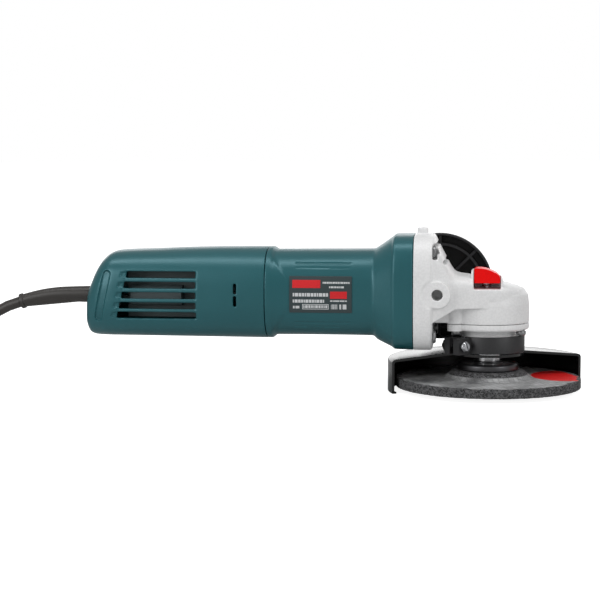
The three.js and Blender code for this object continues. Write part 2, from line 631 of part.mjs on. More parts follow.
const clampScrew = () =>
  turned("y", [[0, -9.4], [2, -9.4], [2, 6.3], [3.3, 6.3], [3.3, 8.3], [2.4, 9.2], [0, 9.2]], 18);

const clampNut = () => rod("y", 3.7, -9.2, -6.3, [0, 0], 6).subtract(rod("y", 2.3, -10, -6, [0, 0], 16));

// ---------------------------------------------------------------- spindle lock

const BUTTON_Y = [-21.4, -4.9];

function lockButton() {
  const side = outline([[-8.8, 7.5], [6.9, 7.5], [6.9, 10.6], [6.3, 12.2], [4.9, 13.4], [2, 14.8], [-1, 15.8],
    [-4, 16.4], [-7.4, 16.5], [-8.5, 16], [-8.8, 15.2]]);
  return extruded("y", side, ...BUTTON_Y).subtract(rod("z", 3.8, 7, 14.5, [PIN_X, PIN_Y], 20));
}

const lockPin = () => rod("z", 1.5, -5.2, 14.2, [PIN_X, PIN_Y], 14);
const lockSpring = () => spring(2.7, 0.35, BUTTON_FLOOR + 0.7, 10.6, 5).translate([PIN_X, PIN_Y, 0]);

// ---------------------------------------------------------------- side handle, about its own Y axis

function sideHandle() {
  const face = HAND_GUARD_FRONT;
  const grip = turned("y", [[0, BOSS_FACE + GAP], [9, BOSS_FACE + GAP], [9.6, face + 4.5], [32.6, face + 4.5],
    [32.6, face], [HAND_GUARD_RADIUS, face], [HAND_GUARD_RADIUS, face + 6], [31, face + 7.4], [15, face + 8],
    [13, face + 12], [13.6, 60], [15.8, 80], [15.8, 98], [14.6, 118], [14.6, 128], [16.6, 141], [16.6, 146],
    [14.6, 150.4], [11, HANDLE_END], [0, HANDLE_END]], 20);
  const ribs = Array.from({ length: 8 }, (_, i) => {
    const rib = new THREE.BoxGeometry(25, 3.4, 1.6).translate(20.8, face + 3.2, 0);
    return solid(rib.rotateY((Math.PI * i) / 4));
  });
  const hoop = turned("y", [[20.4, face + 1.5], [22, face + 1.5], [22, face + 5], [20.4, face + 5]], 20);
  return join([grip, hoop, ...ribs]).subtract(rod("y", 4.3, 30, 62, [0, 0], 20));
}

const handleStud = () => rod("y", 4, 18.6, 61.5, [0, 0], 18);

// ---------------------------------------------------------------- cord

// The sleeve's centre line and radius, from inside the cover to its free end.
const SLEEVE_STATIONS = [
  [-246, CORD_AXIS_Z, 5.2],
  [-254, CORD_AXIS_Z, 5.2],
  [-269, -2.9, 4.8],
  [-275.6, -3.3, 4.6],
  [-282, -4.1, 4.45],
  [-288.2, -5.3, 4.3],
  [-294.2, -6.8, 4.15],
  [-295.2, -7.1, 4.8],
  [-297.8, -7.8, 4.8],
];
const SLEEVE_BORE = 3.8;

function cordSleeve() {
  const flange = rod("x", 7.6, -246, -243.6, [0, CORD_AXIS_Z], 16);
  const bore = SLEEVE_STATIONS.map(([x, z]) => [x, z, SLEEVE_BORE]);
  bore[0] = [-242, CORD_AXIS_Z, SLEEVE_BORE];
  bore[bore.length - 1] = [-300, -8.4, SLEEVE_BORE];
  return swept(SLEEVE_STATIONS, 12).add(flange).subtract(swept(bore, 10));
}

// The loose run of the cord from the sleeve's end down to the coil, heights from the motor axis.
const CORD_LAY = FLOOR + CORD_RADIUS + 0.1;
const CORD_RUN = [
  [-298.4, 0, -8.1],
  [-306.6, 0, -10.9],
  [-315, 0, -15.2],
  [-322, 0, -21.4],
  [-328, 0, -29],
  [-333.6, 0, -37.2],
  [-340, 0, -44.8],
  [-348.2, 0, -51],
  [-358, 0, -55.2],
  [-369, 0, CORD_LAY + 0.3],
  [-379, 0, CORD_LAY + 0.2],
  [-385, 0, CORD_LAY + 0.4],
];
const COIL_CENTRE = [-412, 45.5];
const COIL_RADII = [31.5, 38.5, 45.5];
const COIL_BOTTOM = FLOOR + 1.2; // the tie passes underneath
const TIE_SHEET = 0.8;
const TIE_AZIMUTH = 60;

const cordCurve = (points) =>
  new THREE.CatmullRomCurve3(points.map((point) => new THREE.Vector3(...point)), false, "centripetal");

const powerCord = () => tube(cordCurve(CORD_RUN), CORD_RADIUS, 30, 8);

// Three turns wide and two high, with one more turn on the outside.
function cordCoil() {
  const inner = COIL_RADII[0] - CORD_RADIUS;
  const step = COIL_RADII[2] - CORD_RADIUS;
  const outer = COIL_RADII[2] + CORD_RADIUS;
  const layer = 2 * CORD_RADIUS;
  return turned("z", [[inner, 0], [outer, 0], [outer, 3 * layer], [step, 3 * layer], [step, 2 * layer],
    [inner, 2 * layer]], 28);
}

// A strap round the coil's section, drawn at the coil's +X side.
function cordTie() {
  const inner = COIL_RADII[0] - CORD_RADIUS - GAP;
  const outer = COIL_RADII[2] + CORD_RADIUS + GAP;
  const height = 6 * CORD_RADIUS + GAP;
  const whole = box([inner - TIE_SHEET, outer + TIE_SHEET], [-6, 6], [-GAP - TIE_SHEET, height + TIE_SHEET]);
  return whole.subtract(box([inner - 0.6, outer], [-7, 7], [-GAP, height]));
}

// The end of the cord leaves the coil's top turn towards +Y and enters the plug.
const TAIL_X = COIL_CENTRE[0] - COIL_RADII[2];
const TAIL_START = COIL_CENTRE[1] + 28.5;
const PLUG_REAR = COIL_CENTRE[1] + 46;
const PLUG_RADIUS = 17.5;
const PLUG_LEVEL = FLOOR + PLUG_RADIUS + 0.1;
const COIL_TOP_TURN = COIL_BOTTOM + 5 * CORD_RADIUS;

const cordTail = () =>
  tube(cordCurve([[TAIL_X, TAIL_START, COIL_TOP_TURN - 0.2], [TAIL_X, TAIL_START + 8, COIL_TOP_TURN - 0.5],
    [TAIL_X, PLUG_REAR - GAP, PLUG_LEVEL]]), CORD_RADIUS, 6, 12);

// The plug is turned about Y with its cord end at zero.
function plugBody() {
  const body = turned("y", [[0, 0], [5, 0], [6, 14], [11, 19], [16, 26], [PLUG_RADIUS, 32], [PLUG_RADIUS, 42],
    [16.6, 44], [0, 44]], 24);
  const sides = [-1, 1].map((side) => box([-20, 20], [24, 50], side > 0 ? [12.6, 30] : [-30, -17.5]));
  const sockets = [-1, 1].map((side) => rod("y", 2.7, 38, 50, [9.5 * side, 0], 14));
  return cut(body, [...sides, ...sockets]);
}

const plugPin = (side) =>
  turned("y", [[0, 38.3], [2.4, 38.3], [2.4, 61.6], [1.6, 63], [0, 63]], 14).translate([9.5 * side, 0, 0]);

// ---------------------------------------------------------------- assembly

function piece(name, finish, body) {
  const mesh = new THREE.Mesh(geometryOf(body), new THREE.MeshStandardMaterial(FINISHES[finish]));
  mesh.name = name;
  return mesh;
}

function placed(meshes, position, turn = [0, 0, 0]) {
  const group = new THREE.Group();
  group.position.set(...position);
  group.rotation.set(...turn.map(radians));
  group.add(...meshes);
  return group;
}

function bodyShells() {
  return [
    piece("rear_cover", "teal_plastic", rearCover()),
    piece("rear_cover_screw", "bright_steel", coverScrew()),
    piece("motor_housing", "teal_plastic", motorHousing()),
    piece("rating_plate", "label_plate", namePlate()),
    piece("switch_slider", "black_plastic", switchSlider()),
    piece("switch_rod", "black_plastic", switchRod()),
    piece("switch_module", "black_plastic", switchModule()),
    piece("cord_clamp", "black_plastic", cordClamp()),
  ];
}

function motorPieces() {
  return [
    piece("stator_core", "laminated_steel", statorCore()),
    piece("field_coil_top", "copper_wire", fieldCoil(1)),
    piece("field_coil_bottom", "copper_wire", fieldCoil(-1)),
    piece("armature_core", "laminated_steel", armatureCore()),
    piece("armature_windings", "copper_wire", armatureWindings()),
    piece("armature_shaft", "bright_steel", armatureShaft()),
    piece("commutator", "copper_wire", commutator()),
    piece("cooling_fan", "black_plastic", coolingFan()),
    piece("air_baffle", "black_plastic", airBaffle()),
    piece("armature_bearing_rear", "bright_steel", ringBearing("x", 4.3, 11, -164, -157)),
    piece("armature_bearing_front", "bright_steel", ringBearing("x", 5.3, 13, -45.3, -37.3)),
    piece("bevel_pinion", "bright_steel", bevelPinion()),
  ];
}

function brushGear(side, name) {
  const springMesh = piece(`brush_spring_${name}`, "bright_steel", brushSpring());
  const springGroup = placed([springMesh], [BRUSH_X, 0, 0], [-90, 0, 0]);
  const meshes = [
    piece(`brush_holder_${name}`, "brass", brushHolder()),
    piece(`carbon_brush_${name}`, "carbon", carbonBrush()),
    springGroup,
  ];
  return side > 0 ? placed(meshes, [0, 0, 0]) : placed(meshes, [2 * BRUSH_X, 0, 0], [0, 0, 180]);
}

function headPieces() {
  const headScrews = flangeCorners().map((corner, i) =>
    piece(`gear_head_screw_${i + 1}`, "bright_steel", headScrew(corner)));
  const flangeScrews = FLANGE_SCREWS.map((place, i) =>
    piece(`bearing_flange_screw_${i + 1}`, "bright_steel", flangeScrew(place)));
  return [
    piece("gear_head", "grey_paint", gearHead()),
    piece("bearing_flange", "grey_paint", bearingFlange()),
    piece("lock_button", "red_plastic", lockButton()),
    piece("lock_pin", "bright_steel", lockPin()),
    piece("lock_spring", "bright_steel", lockSpring()),
    ...headScrews,
    ...flangeScrews,
  ];
}

function spindlePieces() {
  return [
    piece("spindle", "bright_steel", spindle()),
    piece("crown_gear", "bright_steel", crownGear()),
    piece("spindle_bearing_upper", "bright_steel", ringBearing("z", 3.5, 7, -5.6, 1.4)),
    piece("spindle_bearing_lower", "bright_steel", ringBearing("z", 6.3, 16, -25.1, -16.1)),
    piece("inner_flange", "black_steel", innerFlange()),
    piece("grinding_disc", "abrasive", grindingDisc()),
    piece("clamping_nut", "black_steel", clampingNut()),
  ];
}

function guardPieces() {
  const clampBolt = [
    piece("clamp_screw", "bright_steel", clampScrew()),
    piece("clamp_nut", "black_steel", clampNut()),
  ];
  const collar = piece("clamp_collar", "black_steel", clampCollar());
  const clamp = placed([collar, placed(clampBolt, [CLAMP_REACH, 0, CLAMP_HEIGHT])], [0, 0, 0], [0, 0, CLAMP_AZIMUTH]);
  return [piece("guard", "black_steel", guard()), clamp];
}

function handlePieces() {
  const meshes = [
    piece("side_handle", "black_plastic", sideHandle()),
    piece("side_handle_stud", "bright_steel", handleStud()),
  ];
  return placed(meshes, [HANDLE_X, 0, HANDLE_Z]);
}

function cordPieces() {
  const coil = piece("cord_coil", "cord_rubber", cordCoil());
  const tie = placed([piece("cord_tie", "black_plastic", cordTie())], [0, 0, 0], [0, 0, TIE_AZIMUTH]);
  const plug = [
    piece("plug_body", "cord_rubber", plugBody()),
    piece("plug_pin_left", "bright_steel", plugPin(-1)),
    piece("plug_pin_right", "bright_steel", plugPin(1)),
  ];
  return [
    piece("cord_sleeve", "cord_rubber", cordSleeve()),
    piece("power_cord", "cord_rubber", powerCord()),
    piece("power_cord_tail", "cord_rubber", cordTail()),
    placed([coil, tie], [...COIL_CENTRE, COIL_BOTTOM]),
    placed(plug, [TAIL_X, PLUG_REAR, PLUG_LEVEL]),
  ];
}

const tool = placed(
  [
    ...bodyShells(),
    ...motorPieces(),
    brushGear(1, "far"),
    brushGear(-1, "near"),
    ...headPieces(),
    ...spindlePieces(),
    ...guardPieces(),
    handlePieces(),
    ...cordPieces(),
  ],
  [0, 0, AXIS_HEIGHT],
);

export default tool;
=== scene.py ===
"""Looks for the corded angle grinder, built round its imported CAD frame.

Meshes are drawn in millimetres, with heights measured from the motor axis, AXIS above the
frame's origin, and are scaled to metres when they are made. The camera, the lights and the
patterns inside materials are placed in metres, with heights from the frame's origin.
"""

import json
import math

import bmesh
import bpy
import numpy as np
from mathutils import Matrix, Vector


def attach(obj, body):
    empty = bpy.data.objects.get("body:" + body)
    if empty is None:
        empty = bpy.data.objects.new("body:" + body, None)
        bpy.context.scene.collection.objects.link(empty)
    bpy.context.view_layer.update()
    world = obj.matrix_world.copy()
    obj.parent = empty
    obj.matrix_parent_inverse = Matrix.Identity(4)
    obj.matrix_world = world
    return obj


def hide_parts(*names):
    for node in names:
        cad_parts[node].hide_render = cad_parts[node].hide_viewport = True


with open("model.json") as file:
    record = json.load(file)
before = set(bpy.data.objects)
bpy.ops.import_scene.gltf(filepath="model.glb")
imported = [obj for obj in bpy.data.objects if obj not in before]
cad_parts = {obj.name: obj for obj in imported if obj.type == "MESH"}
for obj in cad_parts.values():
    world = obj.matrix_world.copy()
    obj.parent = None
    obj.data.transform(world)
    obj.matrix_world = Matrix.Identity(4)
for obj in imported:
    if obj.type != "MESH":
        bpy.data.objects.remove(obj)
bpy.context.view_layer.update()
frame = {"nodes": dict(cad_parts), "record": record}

MM = 0.001
AXIS = 59.0
FLOOR = -61.2
TAU = 2 * math.pi

# -------- camera, light, floor

CAMERA_TARGET = Vector((-0.1178, 0.0, 0.0534))
CAMERA_AZIMUTH = math.radians(6.41)
CAMERA_ELEVATION = math.radians(5.23)
CAMERA_ROLL = math.radians(-0.12)
CAMERA_DISTANCE = 1.0
CAMERA_LENS = 95.3


def make_camera():
    camera = bpy.data.objects.new("camera", bpy.data.cameras.new("camera"))
    bpy.context.scene.collection.objects.link(camera)
    level = math.cos(CAMERA_ELEVATION)
    side, back = math.sin(CAMERA_AZIMUTH) * level, -math.cos(CAMERA_AZIMUTH) * level
    away = Vector((side, back, math.sin(CAMERA_ELEVATION)))
    turn = (-away).to_track_quat("-Z", "Y").to_matrix().to_4x4()
    place = Matrix.Translation(CAMERA_TARGET + away * CAMERA_DISTANCE)
    camera.matrix_world = place @ turn @ Matrix.Rotation(CAMERA_ROLL, 4, "Z")
    camera.data.lens = CAMERA_LENS
    camera.data.sensor_width = 36
    camera.data.clip_start = 0.01
    bpy.context.scene.camera = camera


make_camera()


def area_light(name, place, target, size, power):
    data = bpy.data.lights.new(name, "AREA")
    data.shape = "RECTANGLE"
    data.size, data.size_y = size
    data.energy = power
    light = bpy.data.objects.new(name, data)
    light.visible_camera = False
    bpy.context.scene.collection.objects.link(light)
    aim = (Vector(target) - Vector(place)).to_track_quat("-Z", "Y")
    light.matrix_world = Matrix.Translation(place) @ aim.to_matrix().to_4x4()


def make_world():
    """White to the eye, and dimmer as a light, so that the softboxes shape the object."""
    world = bpy.data.worlds.new("studio")
    world.use_nodes = True
    tree = world.node_tree
    ambient = tree.nodes["Background"]
    ambient.inputs["Color"].default_value = (1, 1, 1, 1)
    ambient.inputs["Strength"].default_value = 0.4
    seen = tree.nodes.new("ShaderNodeBackground")
    seen.inputs["Color"].default_value = (1, 1, 1, 1)
    path = tree.nodes.new("ShaderNodeLightPath")
    mix = tree.nodes.new("ShaderNodeMixShader")
    tree.links.new(path.outputs["Is Camera Ray"], mix.inputs["Fac"])
    tree.links.new(ambient.outputs["Background"], mix.inputs[1])
    tree.links.new(seen.outputs["Background"], mix.inputs[2])
    tree.links.new(mix.outputs["Shader"], tree.nodes["World Output"].inputs["Surface"])
    bpy.context.scene.world = world
    bpy.context.scene.view_settings.view_transform = "Standard"


def make_light():
    area_light("softbox_top", (-0.15, -0.2, 0.95), (-0.12, 0, 0.05), (1.3, 0.28), 3.8)
    area_light("softbox_left", (-0.95, -1.0, 0.5), (-0.15, 0, 0.06), (0.6, 0.9), 5.0)
    area_light("softbox_right", (0.9, -0.7, 0.45), (0, 0, 0.04), (0.35, 0.8), 2.6)
    area_light("backdrop", (0.0, 1.1, 0.26), (0.0, 0, 0.02), (1.8, 0.44), 3.6)


make_world()
make_light()

# -------- materials


class Shader:
    """A material's node tree, with short ways to add nodes and link them."""

    def __init__(self, name):
        self.material = bpy.data.materials.new(name)
        self.material.use_nodes = True
        self.tree = self.material.node_tree
        self.base = self.tree.nodes["Principled BSDF"]
        self.place = self.node("ShaderNodeTexCoord").outputs["Object"]

    def finish(self, values):
        """Feeds the surface shader's own inputs, and returns the material."""
        for key, value in values.items():
            self.feed(value, self.base.inputs[key])
        return self.material

    def node(self, kind, **values):
        made = self.tree.nodes.new(kind)
        for key, value in values.items():
            setattr(made, key, value)
        return made

    def link(self, source, target):
        self.tree.links.new(source, target)

    def feed(self, value, socket):
        """Sets a socket to a number or a colour, or links another node's output to it."""
        if isinstance(value, (int, float)):
            socket.default_value = value
        elif isinstance(value, tuple):
            socket.default_value = (*value, 1)
        else:
            self.link(value, socket)

    def stretched(self, scale):
        mapping = self.node("ShaderNodeMapping")
        mapping.inputs["Scale"].default_value = scale
        self.link(self.place, mapping.inputs["Vector"])
        return mapping.outputs["Vector"]

    def noise(self, scale, detail=2.0, place=None, rough=0.5):
        made = self.node("ShaderNodeTexNoise")
        made.inputs["Scale"].default_value = scale
        made.inputs["Detail"].default_value = detail
        made.inputs["Roughness"].default_value = rough
        self.link(place or self.place, made.inputs["Vector"])
        return made.outputs["Fac"]

    def math(self, operation, *values):
        made = self.node("ShaderNodeMath", operation=operation)
        for value, socket in zip(values, made.inputs):
            self.feed(value, socket)
        return made.outputs["Value"]

    def ranged(self, value, low, high, to_low=0.0, to_high=1.0):
        made = self.node("ShaderNodeMapRange")
        ends = {"From Min": low, "From Max": high, "To Min": to_low, "To Max": to_high}
        for key, number in ends.items():
            made.inputs[key].default_value = number
        self.link(value, made.inputs["Value"])
        return made.outputs["Result"]

    def mix(self, factor, a, b):
        made = self.node("ShaderNodeMix", data_type="RGBA")
        self.feed(factor, made.inputs["Factor"])
        for value, socket in zip((a, b), [s for s in made.inputs if s.type == "RGBA"]):
            self.feed(value, socket)
        return [s for s in made.outputs if s.type == "RGBA"][0]

    def bump(self, height, strength, distance, under=None):
        made = self.node("ShaderNodeBump")
        made.inputs["Strength"].default_value = strength
        made.inputs["Distance"].default_value = distance
        self.link(height, made.inputs["Height"])
        if under is not None:
            self.link(under, made.inputs["Normal"])
        return made.outputs["Normal"]

    def split(self):
        made = self.node("ShaderNodeSeparateXYZ")
        self.link(self.place, made.inputs["Vector"])
        return made.outputs["X"], made.outputs["Y"], made.outputs["Z"]

    def times(self, a, b):
        return self.math("MULTIPLY", a, b)

    def squares(self, a, b):
        """The sum of the two values' squares."""
        return self.math("ADD", self.times(a, a), self.times(b, b))


def scaled(colour, factor):
    return tuple(min(1.0, c * factor) for c in colour)


GRAIN_HEIGHT = 0.0001


def surface(
    name, colour, rough, metal=0.0, grain=1500, depth=0.15, spread=0.08, edge=0.0,
    specular=0.5, tint=(1, 1, 1), stretch=None,
):
    """Colour that varies a little over the piece, fine grain, uneven gloss and lighter worn edges."""
    s = Shader(name)
    broad = s.noise(28, 3)
    fine = s.noise(grain, 2, s.stretched(stretch) if stretch else None)
    shade = s.mix(s.ranged(broad, 0.3, 0.7), scaled(colour, 1 - spread), scaled(colour, 1 + spread))
    speck = s.mix(s.ranged(fine, 0.42, 0.58), scaled(colour, 0.93), scaled(colour, 1.07))
    result = s.mix(0.4, shade, speck)
    if edge:
        worn = s.ranged(s.node("ShaderNodeNewGeometry").outputs["Pointiness"], 0.53, 0.6, 0.0, edge)
        result = s.mix(worn, result, scaled(colour, 1.8))
    return s.finish({
        "Base Color": result,
        "Roughness": s.ranged(broad, 0.25, 0.75, rough - 0.05, rough + 0.05),
        "Normal": s.bump(fine, depth, GRAIN_HEIGHT),
        "Metallic": metal,
        "Specular IOR Level": specular,
        "Specular Tint": tint,
    })


# Colour, roughness and the other values of each plain finish.
FINISHES = {
    "teal_plastic": (
        (0.009, 0.084, 0.096), 0.34,
        {"grain": 1900, "depth": 0.22, "edge": 0.3, "specular": 1.0, "tint": (0.5, 0.85, 0.95)},
    ),
    "grey_paint": ((0.83, 0.832, 0.835), 0.4, {"grain": 800, "depth": 0.07, "spread": 0.02}),
    "black_steel": (
        (0.006, 0.006, 0.0065), 0.5, {"grain": 900, "depth": 0.2, "edge": 0.5, "specular": 0.3},
    ),
    "gloss_black": ((0.004, 0.004, 0.0045), 0.2, {"grain": 900, "depth": 0.06, "edge": 0.5}),
    "bright_steel": ((0.55, 0.56, 0.58), 0.24, {"metal": 1.0, "grain": 2500, "depth": 0.12}),
    "screw_steel": ((0.3, 0.303, 0.31), 0.36, {"metal": 1.0, "grain": 2500, "depth": 0.12}),
    "black_plastic": (
        (0.005, 0.005, 0.0055), 0.42, {"grain": 1700, "depth": 0.25, "edge": 0.5, "specular": 0.2},
    ),
    "red_plastic": (
        (0.9, 0.001, 0.001), 0.36, {"grain": 900, "depth": 0.05, "spread": 0.02, "specular": 0.18},
    ),
    "cord_rubber": ((0.034, 0.03, 0.027), 0.4, {"depth": 0.2}),
    "laminated_steel": (
        (0.2, 0.21, 0.22), 0.4, {"metal": 0.9, "grain": 60, "depth": 0.6, "stretch": (30, 1, 1)},
    ),
    "copper_wire": (
        (0.5, 0.17, 0.05), 0.35, {"metal": 0.9, "grain": 60, "depth": 0.6, "stretch": (1, 25, 25)},
    ),
    "brass": ((0.6, 0.42, 0.13), 0.3, {"metal": 1.0, "grain": 1400, "depth": 0.1}),
    "carbon": ((0.02, 0.021, 0.022), 0.7, {"grain": 1400, "depth": 0.3}),
    "module_plastic": ((0.09, 0.12, 0.125), 0.5, {"depth": 0.1}),
    "label_plate": ((0.03, 0.048, 0.052), 0.4, {"grain": 1600, "depth": 0.08}),
    "print_white": ((0.62, 0.64, 0.65), 0.45, {"grain": 1600, "depth": 0.05}),
    "print_red": ((0.68, 0.008, 0.014), 0.4, {"grain": 1600, "depth": 0.05}),
}
MATERIALS = {
    name: surface(name, colour, rough, **values) for name, (colour, rough, values) in FINISHES.items()
}


def turned_steel(name, colour, rough):
    """Ground or turned metal, with fine rings about the piece's upright axis."""
    s = Shader(name)
    rings = s.noise(1.0, 2, s.stretched((0, 0, 5200)))
    return s.finish({
        "Base Color": s.mix(rings, scaled(colour, 0.75), scaled(colour, 1.2)),
        "Roughness": s.ranged(rings, 0.3, 0.7, rough - 0.08, rough + 0.08),
        "Normal": s.bump(rings, 0.35, GRAIN_HEIGHT),
        "Metallic": 1.0,
    })


for turned_name, turned_colour, turned_rough in (
    ("turned_steel", (0.7, 0.7, 0.71), 0.24),
    ("burnished_band", (0.075, 0.075, 0.077), 0.47),
    ("dark_steel", (0.11, 0.11, 0.115), 0.34),
):
    MATERIALS[turned_name] = turned_steel(turned_name, turned_colour, turned_rough)

PAINTED_LIGHT_FROM, PAINTED_LIGHT_TO = 0.0381, 0.0376  # along Y: what stands nearer than this is painted lighter, a painted highlight on the rib fronts and rim


def handle_plastic():
    """Black grip plastic whose rib edges and rim, at the front of the hand guard, are painted lighter
    grey: painted light for their lit fronts beside the shaded pockets.
    """
    s = Shader("handle_plastic")
    _, y, _ = s.split()
    fine = s.noise(1700, 2)
    uneven = s.ranged(s.noise(60, 3), 0.3, 0.6, 0.6, 1.0)
    # Painted light: the nearest faces of the ribs and rim get a lighter grey, unevenly, in place of
    # the light they catch
    painted_light = s.times(s.ranged(y, PAINTED_LIGHT_FROM, PAINTED_LIGHT_TO), uneven)
    return s.finish({
        # the second, lighter grey is the painted highlight on the rib fronts and rim
        "Base Color": s.mix(painted_light, (0.0035, 0.0035, 0.0038), (0.034, 0.034, 0.036)),
        "Roughness": s.ranged(fine, 0.3, 0.7, 0.4, 0.55),
        "Normal": s.bump(fine, 0.25, GRAIN_HEIGHT),
        "Specular IOR Level": 0.2,
    })


MATERIALS["handle_plastic"] = handle_plastic()

DISC_BOTTOM, DISC_THICKNESS, DISC_RADIUS = -58.2, 5.6, 57.5
LABEL_LEVEL = (AXIS + DISC_BOTTOM + DISC_THICKNESS) * MM  # the disc's top face
LABEL_INNER, LABEL_OUTER = (0.0243, 0.0249), (0.0552, 0.0545)  # from no paper to full paper
NET_TURN, NET_PITCH = 0.35, 0.0034  # glass-fibre threads
PATCH_X, PATCH_Y, PATCH_HALF_X, PATCH_HALF_Y = 0.047, 0.008, 0.0205, 0.024  # its red oval


def abrasive_material():
    """Bonded grit, with a paper label and its glass-fibre net on the top face."""
    s = Shader("abrasive")
    grit = s.node("ShaderNodeTexVoronoi")
    grit.inputs["Scale"].default_value = 1300
    s.link(s.place, grit.inputs["Vector"])
    grains = s.node("ShaderNodeSeparateColor")
    s.link(grit.outputs["Color"], grains.inputs["Color"])
    coarse = s.noise(420, 4, rough=0.7)
    bright = s.ranged(s.times(grains.outputs["Red"], coarse), 0.05, 0.5)
    body = s.mix(bright, (0.024, 0.024, 0.025), (0.15, 0.15, 0.155))
    x, y, z = s.split()
    net = []
    for angle in (NET_TURN, NET_TURN + math.pi / 2):
        run = s.math("ADD", s.times(x, math.cos(angle)), s.times(y, math.sin(angle)))
        wave = s.math("SINE", s.times(run, TAU / NET_PITCH))
        net.append(s.ranged(wave, 0.72, 1.0))
    threads = s.math("MAXIMUM", net[0], net[1])
    blotch = s.noise(75, 5, rough=0.65)
    paper = s.mix(s.ranged(blotch, 0.36, 0.62), (0.13, 0.132, 0.135), (0.5, 0.505, 0.51))
    paper = s.mix(s.times(threads, 0.35), paper, (0.07, 0.07, 0.072))
    radius = s.math("SQRT", s.squares(x, y))
    worn = s.ranged(s.noise(190, 4), 0.35, 0.65, -0.0015, 0.0015)
    inner = s.ranged(radius, *LABEL_INNER)
    outer = s.ranged(s.math("ADD", radius, worn), *LABEL_OUTER)
    top = s.ranged(z, LABEL_LEVEL - 0.35 * MM, LABEL_LEVEL - 0.25 * MM)
    label = s.times(s.times(inner, outer), top)
    across = s.math("DIVIDE", s.math("SUBTRACT", x, PATCH_X), PATCH_HALF_X)
    along = s.math("DIVIDE", s.math("SUBTRACT", y, PATCH_Y), PATCH_HALF_Y)
    patch = s.ranged(s.squares(across, along), 1.02, 0.94)
    red = s.times(patch, s.ranged(blotch, 0.25, 0.45, 0.75, 1.0))
    paper = s.mix(red, paper, (0.78, 0.006, 0.006))
    deep = s.bump(grains.outputs["Red"], 0.9, 0.0005)
    return s.finish({
        "Base Color": s.mix(label, body, paper),
        "Roughness": s.ranged(label, 0, 1, 0.9, 0.55),
        "Normal": s.bump(threads, 0.2, 0.0002, deep),
    })


MATERIALS["abrasive"] = abrasive_material()

# -------- mesh helpers


def made_object(name, mesh):
    piece = bpy.data.objects.new(name, mesh)
    bpy.context.scene.collection.objects.link(piece)
    return piece


MERGE_DISTANCE = 1e-7


def cleaned(mesh, step):
    """Runs a step over the mesh's bmesh and turns all the faces outwards."""
    body = bmesh.new()
    body.from_mesh(mesh)
    step(body)
    bmesh.ops.recalc_face_normals(body, faces=body.faces)
    body.to_mesh(mesh)
    body.free()


def welded(body):
    bmesh.ops.remove_doubles(body, verts=body.verts, dist=MERGE_DISTANCE)


def without_slivers(body):
    bmesh.ops.dissolve_degenerate(body, edges=body.edges, dist=MERGE_DISTANCE)


def mesh_piece(name, points, faces):
    """An object from points in millimetres, heights from the motor axis."""
    mesh = bpy.data.meshes.new(name)
    mesh.from_pydata([(x * MM, y * MM, (z + AXIS) * MM) for x, y, z in points], [], faces)
    cleaned(mesh, welded)
    return made_object(name, mesh)


def rows_and_caps(rows, sides, closed=False):
    """Faces of a skin over rows of points, closed by end caps or end to end."""
    faces = []
    last = rows if closed else rows - 1
    for i in range(last):
        for j in range(sides):
            a, b = i * sides, ((i + 1) % rows) * sides
            k = (j + 1) % sides
            faces.append((a + j, a + k, b + k, b + j))
    if not closed:
        faces.append(tuple(range(sides)))
        faces.append(tuple(range((rows - 1) * sides, rows * sides)))
    return faces


def rounded(points, radius, steps=3):
    """The closed outline with each corner replaced by a small arc."""
    result = []
    for i, corner in enumerate(points):
        here = Vector(corner)
        before, after = Vector(points[i - 1]), Vector(points[(i + 1) % len(points)])
        to_before, to_after = before - here, after - here
        reach = min(radius, to_before.length * 0.45, to_after.length * 0.45)
        start = here + to_before.normalized() * reach
        end = here + to_after.normalized() * reach
        for step in range(steps + 1):
            t = step / steps
            result.append(tuple(start * (1 - t) ** 2 + here * (2 * t * (1 - t)) + end * t**2))
    return result


def turned(name, outline, axis="z", centre=(0, 0, 0), sides=96, radius=0.4):
    """A turned piece from a closed outline of (radius, place) points; corners are rounded."""
    profile = [(max(r, 0.0), h) for r, h in rounded(outline, radius)]
    points = []
    for r, h in profile:
        for j in range(sides):
            a, b = r * math.cos(TAU * j / sides), r * math.sin(TAU * j / sides)
            point = {"x": (h, a, b), "y": (a, h, b), "z": (a, b, h)}[axis]
            points.append(tuple(p + c for p, c in zip(point, centre)))
    piece = mesh_piece(name, points, rows_and_caps(len(profile), sides, closed=True))
    cleaned(piece.data, without_slivers)
    return piece


def smooth_value(table, x):
    """Each column of a table at x, along a smooth curve through its rows."""
    places = [row[0] for row in table]
    x = min(max(x, min(places)), max(places))
    i = 0
    while i < len(table) - 2 and x > places[i + 1]:
        i += 1
    t = (x - places[i]) / (places[i + 1] - places[i])
    result = []
    for k in range(1, len(table[0])):
        a, b = table[i][k], table[i + 1][k]
        span = places[i + 1] - places[i]
        before = table[max(i - 1, 0)]
        after = table[min(i + 2, len(table) - 1)]
        slopes = []
        for lower, upper in ((before, table[i + 1]), (table[i], after)):
            slopes.append((upper[k] - lower[k]) / (upper[0] - lower[0]))
        own = (b - a) / span
        slopes = [own * min(max(s / own, 0), 2.5) if own else 0.0 for s in slopes]
        t2, t3 = t * t, t * t * t
        result.append(
            a * (2 * t3 - 3 * t2 + 1)
            + b * (3 * t2 - 2 * t3)
            + span * (slopes[0] * (t3 - 2 * t2 + t) + slopes[1] * (t3 - t2))
        )
    return result


def power_of(value, power):
    return math.copysign(abs(value) ** (2 / power), value)


def section_point(values, angle, inset=0.0):
    """A point (y, z) of a rounded section; angle runs from +Y towards +Z."""
    half, low, high, power = values
    half, low, high = half - inset, low + inset, high - inset
    y = half * power_of(math.cos(angle), power)
    z = (high + low) / 2 + (high - low) / 2 * power_of(math.sin(angle), power)
    return y, z


def places_between(table, step):
    """Places along a table: its own rows and steps between them."""
    result = []
    rows = sorted({row[0] for row in table})
    for a, b in zip(rows, rows[1:]):
        count = max(1, round((b - a) / step))
        result += [a + (b - a) * k / count for k in range(count)]
    return result + [rows[-1]]


